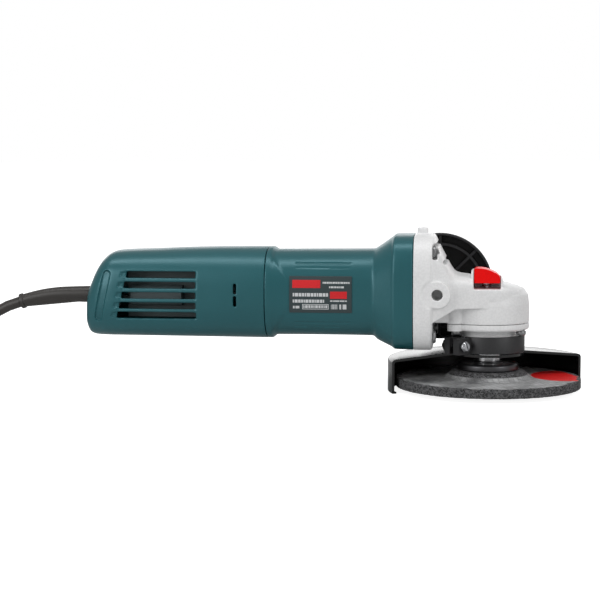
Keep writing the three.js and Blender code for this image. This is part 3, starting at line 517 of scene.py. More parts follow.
def lofted(name, table, step=1.5, sides=128, inset=0.0, shape=None):
    """A closed skin through rounded sections along X."""
    places = places_between(table, step)
    points = []
    for x in places:
        values = smooth_value(table, x)
        for j in range(sides):
            angle = TAU * j / sides
            y, z = section_point(values, angle, inset)
            if shape:
                y, z = shape(x, y, z)
            points.append((x, y, z))
    return mesh_piece(name, points, rows_and_caps(len(places), sides))


def box_piece(name, x, y, z):
    """A plain box between two places on each axis."""
    corners = [(a, b, c) for a in x for b in y for c in z]
    faces = [(0, 1, 3, 2), (4, 6, 7, 5), (0, 4, 5, 1), (2, 3, 7, 6), (0, 2, 6, 4), (1, 5, 7, 3)]
    return mesh_piece(name, corners, faces)


def rod(name, axis, radius, start, end, centre=(0, 0), sides=48):
    """A plain round bar along an axis; its centre is given in the other two axes, in order."""
    outline = [(0, start), (radius, start), (radius, end), (0, end)]
    place = {"x": (0, *centre), "y": (centre[0], 0, centre[1]), "z": (*centre, 0)}[axis]
    return turned(name, outline, axis, place, sides, 0.0)


def extruded(name, axis, outline, start, end, radius=0.0):
    """An outline of points extruded along an axis; it is drawn in the other two axes, in order."""
    flat = rounded(outline, radius, 4) if radius else outline
    points = []
    for place in (start, end):
        for a, b in flat:
            points.append({"x": (place, a, b), "y": (a, place, b), "z": (a, b, place)}[axis])
    return mesh_piece(name, points, rows_and_caps(2, len(flat)))


def baked(piece):
    """Replaces the piece's mesh by the result of its modifiers."""
    graph = bpy.context.evaluated_depsgraph_get()
    mesh = bpy.data.meshes.new_from_object(piece.evaluated_get(graph))
    piece.modifiers.clear()
    old = piece.data
    piece.data = mesh
    bpy.data.meshes.remove(old)
    return piece


def combined(piece, others, operation="DIFFERENCE"):
    """Cuts the others out of the piece, or joins or keeps what they share, and removes them."""
    for other in others:
        change = piece.modifiers.new("change", "BOOLEAN")
        change.operation = operation
        change.solver = "MANIFOLD"
        change.object = other
        baked(piece)
        bpy.data.objects.remove(other)
    return piece


def cast(piece, voxel, rounds=6):
    """Rebuilds a piece as one even skin with softly rounded edges, as a casting or moulding has."""
    remesh = piece.modifiers.new("remesh", "REMESH")
    remesh.mode = "VOXEL"
    remesh.voxel_size = voxel * MM
    soften = piece.modifiers.new("soften", "SMOOTH")
    soften.factor = 0.5
    soften.iterations = rounds
    return baked(piece)


def set_down(piece, place, turn):
    """Turns a piece that was drawn about the origin, and moves its origin to a place."""
    x, y, z = place
    lift = Matrix.Translation((0, 0, -AXIS * MM))
    piece.data.transform(Matrix.Translation((x * MM, y * MM, (z + AXIS) * MM)) @ turn @ lift)
    return piece


def turn_about(axis, degrees):
    return Matrix.Rotation(math.radians(degrees), 4, axis)


def softened(piece, width=0.3, angle=35, segments=2):
    """Adds a small bevel to the piece's edges, in millimetres."""
    edge = piece.modifiers.new("edges", "BEVEL")
    edge.width = width * MM
    edge.segments = segments
    edge.limit_method = "ANGLE"
    edge.angle_limit = math.radians(angle)
    return piece


def shaded(piece, angle=40):
    piece.data.shade_smooth()
    piece.data.set_sharp_from_angle(angle=math.radians(angle))
    return piece


def placed(piece, body, finish, slot, *nodes, angle=40):
    """Gives the piece its finish and its body; the slot argument is not used."""
    if piece.type == "MESH":
        shaded(piece, angle)
    piece.data.materials.clear()
    piece.data.materials.append(MATERIALS[finish])
    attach(piece, body)
    if nodes:
        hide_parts(*nodes)
    return piece


# -------- cord, coil and plug

CORD_RADIUS = 3.5
CORD_LAY = FLOOR + CORD_RADIUS + 0.1
CORD_RUN = [
    (-298.4, 0, -8.1),
    (-306.6, 0, -10.9),
    (-315, 0, -15.2),
    (-322, 0, -21.4),
    (-328, 0, -29),
    (-333.6, 0, -37.2),
    (-340, 0, -44.8),
    (-348.2, 0, -51),
    (-358, 0, -55.2),
    (-369, 0, CORD_LAY + 0.3),
    (-379, 0, CORD_LAY + 0.2),
    (-385, 0, CORD_LAY + 0.4),
]
COIL_CENTRE = (-412, 45.5)
COIL_BOTTOM = FLOOR + 1.2
# Radius and layer of each whole turn; the last one goes a quarter turn further.
COIL_TURNS = [(45.5, 0), (38.5, 0), (31.5, 0), (31.5, 1), (38.5, 1), (45.5, 1), (45.5, 2)]
COIL_SHIFT = 1 / 6  # share of a turn in which the cord moves over to the next one
TURN_POINTS = 30
TAIL_X = COIL_CENTRE[0] - COIL_TURNS[-1][0]
PLUG_REAR = COIL_CENTRE[1] + 46
PLUG_RADIUS = 17.5
PLUG_LEVEL = FLOOR + PLUG_RADIUS + 0.1
COIL_TOP_TURN = COIL_BOTTOM + 5 * CORD_RADIUS
STRAP_AZIMUTH = 60


def eased(t):
    t = min(max(t, 0.0), 1.0)
    return t * t * (3 - 2 * t)


def coil_points():
    points = []
    total = round((len(COIL_TURNS) + 0.25) * TURN_POINTS)
    for i in range(1, total + 1):
        turn = i / TURN_POINTS
        number = min(int(turn), len(COIL_TURNS) - 1)
        radius, layer = COIL_TURNS[number]
        after, above = COIL_TURNS[min(number + 1, len(COIL_TURNS) - 1)]
        share = eased((turn - number - 1 + COIL_SHIFT) / COIL_SHIFT)
        radius += (after - radius) * share
        layer += (above - layer) * share
        angle = -math.pi / 2 - TAU * turn
        x = COIL_CENTRE[0] + radius * math.cos(angle)
        y = COIL_CENTRE[1] + radius * math.sin(angle)
        points.append((x, y, COIL_BOTTOM + CORD_RADIUS + 2 * CORD_RADIUS * layer))
    return points


def tail_points():
    start = COIL_CENTRE[1] + 6
    middle = [(TAIL_X, start + 7 * k, COIL_TOP_TURN) for k in range(4)]
    return middle + [
        (TAIL_X, PLUG_REAR - 10, COIL_TOP_TURN - 0.4),
        (TAIL_X, PLUG_REAR - 4, PLUG_LEVEL + 0.1),
        (TAIL_X, PLUG_REAR + 3, PLUG_LEVEL),
    ]


def cord_path():
    approach = [(-394, 0, CORD_LAY + 1.0), (-403, 0, COIL_BOTTOM + CORD_RADIUS)]
    return CORD_RUN + approach + coil_points() + tail_points()


def length_of(points):
    return sum((Vector(a) - Vector(b)).length for a, b in zip(points, points[1:]))


def make_cord():
    points = cord_path()
    data = bpy.data.curves.new("mains_cord", "CURVE")
    data.dimensions = "3D"
    data.bevel_depth = CORD_RADIUS * MM
    data.bevel_resolution = 5
    data.use_fill_caps = True
    spline = data.splines.new("POLY")
    spline.points.add(len(points) - 1)
    for target, (x, y, z) in zip(spline.points, points):
        target.co = (x * MM, y * MM, (z + AXIS) * MM, 1)
    cord = made_object("mains_cord", data)
    solids = ("power_cord", "power_cord_tail", "cord_coil")
    placed(cord, "tool", "cord_rubber", "cord_rubber", *solids)
    return cord, length_of(points) * MM


mains_cord, cord_length = make_cord()


RIM_START, RIM_RISE = -295.6, 0.75


def cord_sleeve():
    """Tapered strain relief with a small rim at its free end."""
    table = [
        (-246, -2.8, 5.2),
        (-254, -2.8, 5.2),
        (-269, -2.9, 4.8),
        (-275.6, -3.3, 4.6),
        (-282, -4.1, 4.45),
        (-288.2, -5.3, 4.3),
        (-294.2, -6.8, 4.15),
        (-297.8, -7.8, 4.1),
    ]
    table = table[::-1]
    path = []
    for x in places_between(table, 0.35):
        z, radius = smooth_value(table, x)
        if x < RIM_START:
            radius += RIM_RISE * eased((RIM_START + 0.3 - x) / 0.7)
        path.append((x, z, radius))
    path = [(*path[0][:2], 3.75), *path, (*path[-1][:2], 3.7)]  # with the bore's two ends
    sides = 40
    points = []
    for i, (x, z, radius) in enumerate(path):
        before, after = path[max(i - 1, 0)], path[min(i + 1, len(path) - 1)]
        slope = math.atan2(after[1] - before[1], (after[0] - before[0]) or 1)
        for j in range(sides):
            up = radius * math.sin(TAU * j / sides)
            across = radius * math.cos(TAU * j / sides)
            points.append((x - math.sin(slope) * up, across, z + math.cos(slope) * up))
    piece = mesh_piece("cord_sleeve_moulding", points, rows_and_caps(len(path), sides, closed=True))
    placed(piece, "tool", "cord_rubber", "cord_rubber", "cord_sleeve")


cord_sleeve()


def plug_parts():
    """Two-pin mains plug with a waisted grip and a flat on top."""
    profile = [
        (0, 0), (5, 0), (6, 6), (6.6, 13), (11, 19), (15.2, 25), (16.8, 30), (PLUG_RADIUS, 33.5),
        (PLUG_RADIUS, 41.5), (16.8, 44), (0, 44),
    ]
    body = turned("plug_grip", profile, "y", (TAIL_X, PLUG_REAR, PLUG_LEVEL), 72, 2.2)
    across, along = (TAIL_X - 20, TAIL_X + 20), (PLUG_REAR + 24, PLUG_REAR + 50)
    flat = box_piece("upper", across, along, (PLUG_LEVEL + 12.6, PLUG_LEVEL + 30))
    combined(body, [flat])
    placed(softened(body, 0.8, 40, 3), "tool", "cord_rubber", "cord_rubber", "plug_body")
    pins = []
    for side, name in ((-1, "left"), (1, "right")):
        outline = [(0, 43.7), (2.4, 43.7), (2.4, 61.2), (1.5, 63), (0, 63)]
        place = (TAIL_X + 9.5 * side, PLUG_REAR, PLUG_LEVEL)
        pin = turned(f"plug_prong_{name}", outline, "y", place, 32, 0.5)
        pins.append(placed(pin, "tool", "brass", "bright_steel", f"plug_pin_{name}"))
    return [body, *pins]


plug = plug_parts()


def cord_strap():
    """A strap with a small buckle round the coil's section."""
    inner, outer, bottom, top, sheet = 31.5 - 3.8, 45.5 + 3.8, -0.3, 21.3, 0.8
    rim = [
        (inner - sheet, bottom - sheet), (outer + sheet, bottom - sheet),
        (outer + sheet, top + sheet), (inner - sheet, top + sheet),
    ]
    hole = [(inner - 0.2, bottom), (outer, bottom), (outer, top), (inner - 0.2, top)]
    strap = extruded("cord_strap", "y", rim, -6, 6, 3.0)
    combined(strap, [extruded("hole", "y", hole, -7, 7, 2.4)])
    reach, rise = (outer - 6, outer + sheet + 0.2), (top - 3, top + sheet + 0.2)
    combined(strap, [box_piece("buckle", reach, (-6.4, 6.4), rise)], "UNION")
    combined(strap, [extruded("again", "y", hole, -7, 7, 2.4)])
    set_down(strap, (*COIL_CENTRE, COIL_BOTTOM), turn_about("Z", STRAP_AZIMUTH))
    return placed(softened(strap, 0.3), "tool", "black_plastic", "black_plastic", "cord_tie")


strap = cord_strap()

# -------- teal mouldings

COVER_REAR, COVER_FRONT = -251.3, -136.9
HOUSING_REAR, HOUSING_FRONT = -136.6, -45.7
COVER = [
    (COVER_REAR, 15.5, -22.4, -9.8, 2.4),
    (-250.2, 19.5, -25.9, 2.2, 2.5),
    (-248.4, 22.4, -27.2, 6.9, 2.7),
    (-244.6, 24.8, -27.9, 15.3, 2.8),
    (-240.8, 26.2, -28.0, 20.7, 2.9),
    (-236.2, 27.0, -28.1, 24.4, 3.0),
    (-231.2, 27.5, -28.1, 25.7, 3.0),
    (-202.0, 28.6, -28.3, 26.9, 2.9),
    (-171.0, 29.4, -28.6, 28.0, 2.7),
    (COVER_FRONT, 29.6, -28.9, 28.3, 2.6),
]
HOUSING = [
    (HOUSING_REAR, 29.6, -28.9, 28.3, 2.6),
    (-133.6, 29.4, -28.7, 28.1, 2.6),
    (-131.6, 27.6, -26.9, 26.6, 2.6),
    (-100.0, 27.6, -26.7, 26.9, 2.7),
    (-71.0, 27.6, -26.9, 27.1, 2.8),
    (-68.0, 28.8, -29.2, 28.6, 3.0),
    (-58.8, 33.5, -33.3, 35.1, 3.6),
    (-57.3, 34.4, -34.3, 36.2, 4.0),
    (HOUSING_FRONT, 34.6, -34.6, 36.4, 4.2),
]
SCREW_LEVELS = (26.7, -25.1)
HEAD_SCREWS = [(y, z) for y in (26.5, -26.5) for z in SCREW_LEVELS]  # across and up
VENT_LEVELS = [11.8, 5.4, -1.0, -7.3, -13.3]
VENT_FRONT, VENT_REAR_TOP, VENT_STAGGER, VENT_HEIGHT = -179.6, -223.3, 1.55, 4.0
VENT_LEAD = 3.4  # sloped run-in behind each vent
VENT_LIP = 0.85  # width of the shallow step round each vent
SIDES = ((-40, 0), (0, 40))  # a cutter's reach on the near side and on the far side


def vent_outline(row, level, grow):
    rear = VENT_REAR_TOP - VENT_STAGGER * row
    half = VENT_HEIGHT / 2
    return [
        (rear - 0.4 - grow, level - half - grow),
        (VENT_FRONT + grow, level - half - grow),
        (VENT_FRONT + grow, level + half + 0.4 * grow),
        (rear + 0.4 - grow, level + half + 0.4 * grow),
    ]


def vent_cutters():
    return [
        extruded("vent", "y", vent_outline(row, level, 0), -40, 40, 0.5)
        for row, level in enumerate(VENT_LEVELS)
    ]


def shallow_cut(piece, outline_cutters, table, depth):
    """Cuts the cutters' shapes into the piece to an even depth below its skin."""
    for cutter in outline_cutters:
        core = lofted("core", table, 1.5, 128, depth)
        combined(cutter, [core])
        combined(piece, [cutter])
    return piece


def side_of(table, x, z):
    """How far the side of a lofted skin stands from the middle plane."""
    half, low, high, power = smooth_value(table, x)
    share = min(abs(z - (high + low) / 2) / ((high - low) / 2), 1.0)
    return half * (1 - share**power) ** (1 / power)


def capsule(start, end, radius, steps=8):
    """Outline of a round-ended slot between two points."""
    turn = math.atan2(end[1] - start[1], end[0] - start[0])
    outline = []
    for centre, first in ((end, turn - math.pi / 2), (start, turn + math.pi / 2)):
        for k in range(steps + 1):
            angle = first + math.pi * k / steps
            x, z = centre
            outline.append((x + radius * math.cos(angle), z + radius * math.sin(angle)))
    return outline


def rear_cover():
    """The switch and brush end's cover, with its vents, latch slots and slanted side grooves."""
    cover = lofted("rear_cover_moulding", COVER, 1.0, 160)
    inner = [(x, half, low, high, power) for x, half, low, high, power in COVER[1:]]
    inner[-1] = (COVER_FRONT + 1, *inner[-1][1:])
    hollow = lofted("hollow", inner, 2.0, 96, 2.5)
    entry = rod("entry", "x", 5.7, -258, -240, (0, -2.8))
    screw = rod("screw", "z", 3.4, -32, -20, (-150, 0))
    latches = []
    for low in (0.2, -7.4):
        high = low + 6.4
        outline = [(-156, low), (-154.1, low), (-154.1, high), (-156, high)]
        latches.append(extruded("latch", "y", outline, -40, 40, 0.5))
    combined(cover, [hollow, entry, screw, *latches, *vent_cutters()])
    for reach in SIDES:
        leads = []
        for row, level in enumerate(VENT_LEVELS):
            rear = VENT_REAR_TOP - VENT_STAGGER * row
            outline = [
                (rear - VENT_LEAD - 0.6, level - 1.5),
                (rear + 2, level - 1.5),
                (rear + 2, level + 1.7),
                (rear - VENT_LEAD + 0.6, level + 1.7),
            ]
            leads.append(extruded("lead", "y", outline, *reach, 0.4))
        shallow_cut(cover, leads, COVER, 0.9)
        groove = extruded("groove", "y", capsule((-241.6, -15), (-235.8, 11.8), 2.45), *reach)
        shallow_cut(cover, [groove], COVER, 1.3)
        lips = [
            extruded("lip", "y", vent_outline(row, level, VENT_LIP), *reach, 0.5)
            for row, level in enumerate(VENT_LEVELS)
        ]
        shallow_cut(cover, lips, COVER, 0.45)
    cast(cover, 0.42, 5)
    placed(cover, "tool", "teal_plastic", "teal_plastic", "rear_cover", angle=60)


rear_cover()


TONGUE_START, TONGUE_HEIGHT, TONGUE_TAPER, TONGUE_EDGE = -133, 26.5, 1.55, 3.5
TONGUE_LENGTH, TONGUE_FALL = 18, 2.0


def grip_shoulder(x, y, z):
    """Carries the cover's width forwards along each side, where it runs out in a blunt tongue."""
    edge = TONGUE_HEIGHT - TONGUE_TAPER * (x - TONGUE_START)
    share = eased((edge - abs(z)) / TONGUE_EDGE)
    half = smooth_value(HOUSING, x)[0]
    wide = HOUSING[0][1] - TONGUE_FALL * eased((x - HOUSING_REAR) / TONGUE_LENGTH)
    return y * (1 + share * max(wide / half - 1, 0)), z


def motor_housing():
    """The grip and its square front flange, with the switch's slot and shallow side grooves."""
    shell = lofted("motor_housing_moulding", HOUSING, 1.0, 160, shape=grip_shoulder)
    hollow = lofted(
        "hollow",
        [
            (HOUSING_REAR - 1, 25.1, -24.1, 24.0, 2.6),
            (-71.5, 25.1, -23.9, 24.3, 2.8),
            (-66, 27.6, -27, 27.6, 3.0),
            (-60, 30.8, -30.8, 31.8, 3.0),
            (HOUSING_FRONT + 1, 31, -31, 32, 3.0),
        ],
        2.0,
        96,
    )
    slot = box_piece("slot", (-120, -92), (15, 40), (-9.5, -4.5))
    holes = [rod("hole", "x", 2.4, -57.6, -45, place) for place in HEAD_SCREWS]
    combined(shell, [hollow, slot, *holes])
    for reach in SIDES:
        grooves = []
        for rear, front, level in ((-118.5, -83, 19.2), (-117.6, -84, 16.4), (-118, -84, -17.2)):
            low, high = level - 0.45, level + 0.45
            outline = [(rear, low), (front, low), (front, high), (rear, high)]
            grooves.append(extruded("groove", "y", outline, *reach, 0.3))
        shallow_cut(shell, grooves, HOUSING, 0.5)
    cast(shell, 0.45, 5)
    placed(shell, "tool", "teal_plastic", "teal_plastic", "motor_housing", angle=60)


motor_housing()


def side_patch(name, x, z, start, end, step=1.2):
    """A thin slab on the near side of the grip, between two distances from its skin."""
    columns = max(2, round((x[1] - x[0]) / step) + 1)
    rows = max(2, round((z[1] - z[0]) / step) + 1)
    points, faces = [], []
    for rise in (end, start):
        for i in range(columns):
            for j in range(rows):
                a = x[0] + (x[1] - x[0]) * i / (columns - 1)
                b = z[0] + (z[1] - z[0]) * j / (rows - 1)
                points.append((a, -side_of(HOUSING, a, b) - rise, b))
    back = columns * rows
    for i in range(columns - 1):
        for j in range(rows - 1):
            a = i * rows + j
            faces.append((a, a + rows, a + rows + 1, a + 1))
            faces.append((back + a, back + a + 1, back + a + rows + 1, back + a + rows))
    edge = [i * rows for i in range(columns)]
    edge += [(columns - 1) * rows + j for j in range(1, rows)]
    edge += [i * rows + rows - 1 for i in range(columns - 2, -1, -1)]
    edge += list(range(rows - 2, 0, -1))
    for a, b in zip(edge, edge[1:] + edge[:1]):
        faces.append((a, b, back + b, back + a))
    return mesh_piece(name, points, faces)


# Rows of plain marks where a rating plate carries its print: X range, height range, mark and gap.
PLATE_ROWS = [
    ((-100.7, -84.1), (7.1, 8.2), 0.9, 0.25),
    ((-96.8, -87.7), (4.4, 5.5), 1.1, 0.3),
    ((-119.1, -97.4), (-0.8, 1.3), 1.3, 0.35),
    ((-119.1, -99.8), (-4.6, -2.7), 1.15, 0.35),
    ((-96.2, -85.9), (-3.9, -3.1), 2.3, 0.3),
    ((-119.0, -115.0), (-8.2, -6.6), 1.5, 0.5),
    ((-112.6, -97.9), (-7.9, -6.2), 1.0, 0.4),
    ((-95.6, -91.6), (-8.6, -5.6), 0.5, 0.5),
    ((-90.5, -86.2), (-8.6, -5.6), 1.6, 0.9),
]
PLATE_BLOCKS = [((-119.4, -102.2), (4.4, 9.3)), ((-96.2, -85.9), (-2.1, 2.3))]
PLATE_FRAME = ((-113.3, -97.1), (-8.7, -5.5))
PRINT_RISE = (0.72, 0.79)  # the print's two faces, above the housing's skin


def print_row(name, x, z, mark, gap):
    """Marks of uneven length along a row, as one piece."""
    marks = []
    start, number = x[0], 0
    while start < x[1] - 0.3:
        length = mark * (0.7 + 0.3 * ((number * 7) % 4))
        reach = (start, min(start + length, x[1]))
        marks.append(side_patch(f"{name}_{number}", reach, z, *PRINT_RISE))
        start += length + gap
        number += 1
    return merged(marks, name)


def merged(pieces, name):
    """One object from several separate meshes."""
    body = bmesh.new()
    for piece in pieces:
        body.from_mesh(piece.data)
        bpy.data.objects.remove(piece)
    mesh = bpy.data.meshes.new(name)
    body.to_mesh(mesh)
    body.free()
    return made_object(name, mesh)


def rating_plate():
    plate = side_patch("rating_plate_sheet", (-121.3, -83), (-10.8, 11.6), 0.3, 0.75)
    placed(softened(plate, 0.12, 50), "tool", "label_plate", "label_plate", "rating_plate")
    for number, row in enumerate(PLATE_ROWS, 1):
        placed(print_row(f"plate_print_row_{number}", *row), "tool", "print_white", "label_plate")
    for number, (x, z) in enumerate(PLATE_BLOCKS, 1):
        block = side_patch(f"plate_print_block_{number}", x, z, *PRINT_RISE)
        placed(block, "tool", "print_red", "label_plate")
    (left, right), (bottom, top) = PLATE_FRAME
    line = 0.35
    rails = [
        ((left, right), (top - line, top)), ((left, right), (bottom, bottom + line)),
        ((left, left + line), (bottom, top)), ((right - line, right), (bottom, top)),
    ]
    frame_rails = [side_patch(f"rail_{i}", x, z, *PRINT_RISE) for i, (x, z) in enumerate(rails)]
    placed(merged(frame_rails, "plate_print_frame"), "tool", "print_white", "label_plate")


rating_plate()


def switch_slider():
    """The sliding switch's thumb piece, with ridges, on the far side of the grip."""
    level = -7
    pad = [(-117, level - 4.5), (-99, level - 4.5), (-99, level + 4.5), (-117, level + 4.5)]
    slider = extruded("switch_slider_moulding", "y", pad, 28.2, 31.2, 1.2)
    parts = [box_piece("neck", (-115, -101), (24.3, 29), (level - 2.1, level + 2.1))]
    for k in range(4):
        low = -114.5 + 3.6 * k
        parts.append(box_piece("ridge", (low, low + 1.5), (31, 32.2), (level - 3.5, level + 3.5)))
    combined(slider, parts, "UNION")
    placed(softened(slider, 0.35, 40, 3), "switch", "black_plastic", "black_plastic", "switch_slider")


switch_slider()

# -------- gear head

HEAD_BACK, HEAD_PLATE_FRONT = -45.4, -34.0
HANDLE_X, HANDLE_Z, BOSS_FACE = -31, 0.9, 33.5
CASE_BOTTOM, PLATE_BOTTOM, NECK_BOTTOM = -17.9, -22.2, -35.8
CASE_RADIUS = 25.2
BUTTON_FLOOR = 3.9
PIN_X, PIN_Y = -1, -10  # the lock pin's axis
FLANGE_SCREWS = [(20, 11), (20, -11), (-19.6, 14), (-19.6, -14)]  # along and across
COLUMN, COLUMN_RADIUS = (-20, 16), 5
EXHAUSTS = [(-25.2, 20.2), (-30.8, 30.4)]  # where each slot meets the neck's sloping top
EXHAUST_HALF = 1.3


def screw_columns(bottom, top):
    x, y = COLUMN
    return [rod("column", "z", COLUMN_RADIUS, bottom, top, (x, y * side)) for side in (-1, 1)]


def shoulder():
    """A sharp-edged underside to the neck, as wide as the neck, that runs out along the gear case."""
    side = [(-34.5, -16.6), (-20.3, -8.2), (0, -7.6), (0, -2), (-34.5, -2)]
    half_plan = [(-35, 33), (-28, 31.3), (-20.7, 28.5), (-12, 26.7), (-3, 25.4), (0, 25.2)]
    plan = half_plan + [(x, -y) for x, y in half_plan[::-1]]
    slab = extruded("shoulder", "y", side, -34, 34)
    return combined(slab, [extruded("plan", "z", plan, -20, 0)], "INTERSECT")


def screw_recess(side):
    """Room for the head of an upper housing screw, open to the side."""
    level = SCREW_LEVELS[0]
    low, high, front = level - 4.6, level + 4.6, -31
    outline = [(HEAD_PLATE_FRONT, low), (front, low), (front, high), (HEAD_PLATE_FRONT, high)]
    reach = (22.2, 40) if side > 0 else (-40, -22.2)
    return extruded("recess", "y", outline, *reach)


def gear_head():
    """The cast gear head, joined from its parts, hollowed and then softened as one casting."""
    plate = [
        (HEAD_BACK, 34.6, -34.6, 36.4, 4.2),
        (-35.3, 34.6, -34.6, 36.4, 4.2),
        (HEAD_PLATE_FRONT, 33.6, -33.4, 35.6, 4.0),
    ]
    neck = [
        (-35, 33.2, -16, 36.1, 4.6),
        (-33.6, 33.1, -15.2, 36.0, 4.6),
        (-28, 31.4, -12, 24.9, 4.8),
        (-20.7, 28.6, -7.6, 12.6, 5.0),
        (-12, 26.8, -7, 10.7, 5.0),
        (-3, 25.5, -6.8, 8.8, 5.0),
        (5, 24.5, -6.8, 7.2, 4.6),
        (12, 21.4, -6.5, 6, 4.0),
        (18.5, 15.5, -6, 4.4, 3.2),
    ]
    case = [
        (0, 5.6), (12, 5.6), (17.5, 5.1), (21.9, 3.2), (24.4, -0.4), (25.1, -6),
        (CASE_RADIUS, -14), (CASE_RADIUS, CASE_BOTTOM), (0, CASE_BOTTOM),
    ]
    head = lofted("gear_head_casting", plate, 1.0, 128)
    turret = [(-10.7, -4), (8.8, -4), (8.8, 9.6), (8, 11), (-2, 14.6), (-9.6, 15.2), (-10.7, 14)]
    pocket = ((-9.2, 7.3), (-26, -4.4), (BUTTON_FLOOR, 20))
    block = combined(extruded("turret", "y", turret, -21.8, -3.2), [box_piece("pocket", *pocket)])
    parts = [
        lofted("neck", neck, 1.0, 128),
        turned("case", case, sides=128, radius=0.3),
        rod("bosses", "y", 8.2, -34.1, BOSS_FACE, (HANDLE_X, HANDLE_Z), sides=64),
        *screw_columns(CASE_BOTTOM, -5),
        shoulder(),
        box_piece("throat", (-35, -14), (-19, 19), (-17.3, 0)),
        box_piece("tab", (-43.9, -37.5), (-5, 5), (33, 40.5)),
        block,
    ]
    combined(head, parts, "UNION")
    chamber = [(0, -3.5), (17.6, -3.5), (19.2, -5), (19.2, -21), (0, -21)]
    handle_axis = (HANDLE_X, HANDLE_Z)
    cuts = [
        turned("chamber", chamber, radius=0.0),
        rod("passage", "x", 8.6, -38, -9),
        rod("cup", "x", 13.3, HEAD_BACK - 1, -37),
        rod("seat", "z", 7.3, -6, 1.8),
        rod("pin_hole", "z", 1.8, -5, 5, (PIN_X, PIN_Y)),
        box_piece("pocket", (-9.2, 7.3), (-30, -4.4), (BUTTON_FLOOR, 20)),
        rod("near_hole", "y", 3.4, -40, -18, handle_axis),
        rod("far_hole", "y", 4.35, 18, 40, handle_axis),
        rod("near_seat", "y", 9.8, -40, -34.2, handle_axis),
        rod("far_seat", "y", 9.8, BOSS_FACE, 40, handle_axis),
    ]
    for x, z in EXHAUSTS:
        levels = (z - EXHAUST_HALF, z + EXHAUST_HALF)
        cuts.append(box_piece("exhaust", (-50, -15), (-19, 19), levels))
        cuts.append(box_piece("louvre", (x - 2.4, x + 8), (-40, 40), levels))
    cuts += [screw_recess(side) for side in (-1, 1)]
    cuts += [rod("hole", "x", 2.4, -50, -30, place) for place in HEAD_SCREWS]
    cuts += [rod("tap", "z", 2.2, -23, -12, place) for place in FLANGE_SCREWS[2:]]
    combined(head, cuts)
    cast(head, 0.42, 4)
    placed(head, "tool", "grey_paint", "grey_paint", "gear_head", angle=60)


gear_head()


def bearing_flange():
    """The plate that closes the gear case, and the neck that the guard's collar grips."""
    top = CASE_BOTTOM - 0.3
    outline = [
        (16.3, -16), (18.8, -16), (18.8, top), (CASE_RADIUS, top), (CASE_RADIUS, PLATE_BOTTOM + 1),
        (24.3, PLATE_BOTTOM), (17.1, PLATE_BOTTOM), (17.1, -26.3), (20.2, -26.3),
        (20.2, NECK_BOTTOM), (9.8, NECK_BOTTOM), (9.8, -25.4), (16.3, -25.4),
    ]
    flange = turned("bearing_flange_casting", outline, sides=128, radius=0.35)
    ears = screw_columns(PLATE_BOTTOM, top)
    for ear in ears:
        combined(ear, [rod("core", "z", 18.8, -30, -10, sides=96)])
    combined(flange, ears, "UNION")
    combined(flange, [rod("hole", "z", 2.2, -30, -18, place, 32) for place in FLANGE_SCREWS])
    softened(flange, 0.5, 40, 3)
    placed(flange, "tool", "grey_paint", "grey_paint", "bearing_flange")


bearing_flange()


def cross_recess(depth):
    """A cross-shaped socket, tapering with depth, down from a screw's top."""
    corners = ((-1, -1), (1, -1), (1, 1), (-1, 1))
    faces = [(0, 1, 2, 3), (4, 7, 6, 5), (0, 4, 5, 1), (1, 5, 6, 2), (2, 6, 7, 3), (3, 7, 4, 0)]
    arms = []
    for wide, thin in ((2.6, 0.72), (0.72, 2.6)):
        points = [(a * wide / 2, b * thin / 2, 1) for a, b in corners]
        points += [(a * min(wide, 1.5) / 2, b * min(thin, 1.5) / 2, -depth) for a, b in corners]
        arms.append(mesh_piece("socket", points, faces))
    return arms


def screw_mesh(name, shank, length, head, height):
    """A pan-head screw about Z, pointing down, with its head's top at the origin."""
    outline = [
        (0, 0), (head * 0.8, 0), (head * 0.97, -height * 0.22), (head, -height * 0.5),
        (head, -height), (shank, -height), (shank, -length), (0, -length),
    ]
    screw = turned(name, outline, sides=40, radius=0.25)
    return combined(screw, cross_recess(1.2))


def screws():
    """Places each screw, turned from its pattern's own downward direction."""
    head_pattern = screw_mesh("screw", 2.0, 25.5, 3.8, 2.0)
    small_pattern = screw_mesh("small_screw", 1.9, 12.2, 3.0, 2.7)
    backward, upward = turn_about("Y", 90), turn_about("X", 180)
    jobs = []
    for i, place in enumerate(HEAD_SCREWS):
        jobs.append((head_pattern, backward, (-31.7, *place), f"gear_head_screw_{i + 1}", i))
    for i, place in enumerate(FLANGE_SCREWS):
        jobs.append((small_pattern, upward, (*place, -25.2), f"bearing_flange_screw_{i + 1}", i))
    jobs.append((small_pattern, upward, (-150, 0, -27.2), "rear_cover_screw", 0))
    for pattern, turn, place, node, i in jobs:
        piece = made_object(node + "_pan_head", pattern.data.copy())
        set_down(piece, place, turn @ turn_about("Z", 25 + 31 * i))
        placed(piece, "tool", "screw_steel", "bright_steel", node, angle=35)
    for pattern in (head_pattern, small_pattern):
        bpy.data.objects.remove(pattern)


screws()


def lock_button():
    """The red button with its ground pin, which ride together."""
    side = [
        (-8.8, 7.5), (6.9, 7.5), (6.9, 10.6), (6.3, 12.2), (4.9, 13.4), (2, 14.8), (-1, 15.8),
        (-4, 16.4), (-7.4, 16.5), (-8.8, 15.6),
    ]
    button = extruded("lock_button_moulding", "y", side, -21.4, -4.9, 0.8)
    combined(button, [rod("well", "z", 3.8, 7, 14.5, (PIN_X, PIN_Y))])
    placed(softened(button, 0.9, 40, 4), "lock", "red_plastic", "red_plastic", "lock_button")
    outline = [(0, -5.2), (1.5, -5.2), (1.5, 14.2), (0, 14.2)]
    pin = turned("lock_pin_ground", outline, "z", (PIN_X, PIN_Y, 0), 32, 0.4)
    placed(pin, "lock", "bright_steel", "bright_steel", "lock_pin")


lock_button()

# -------- spindle, disc and clamping

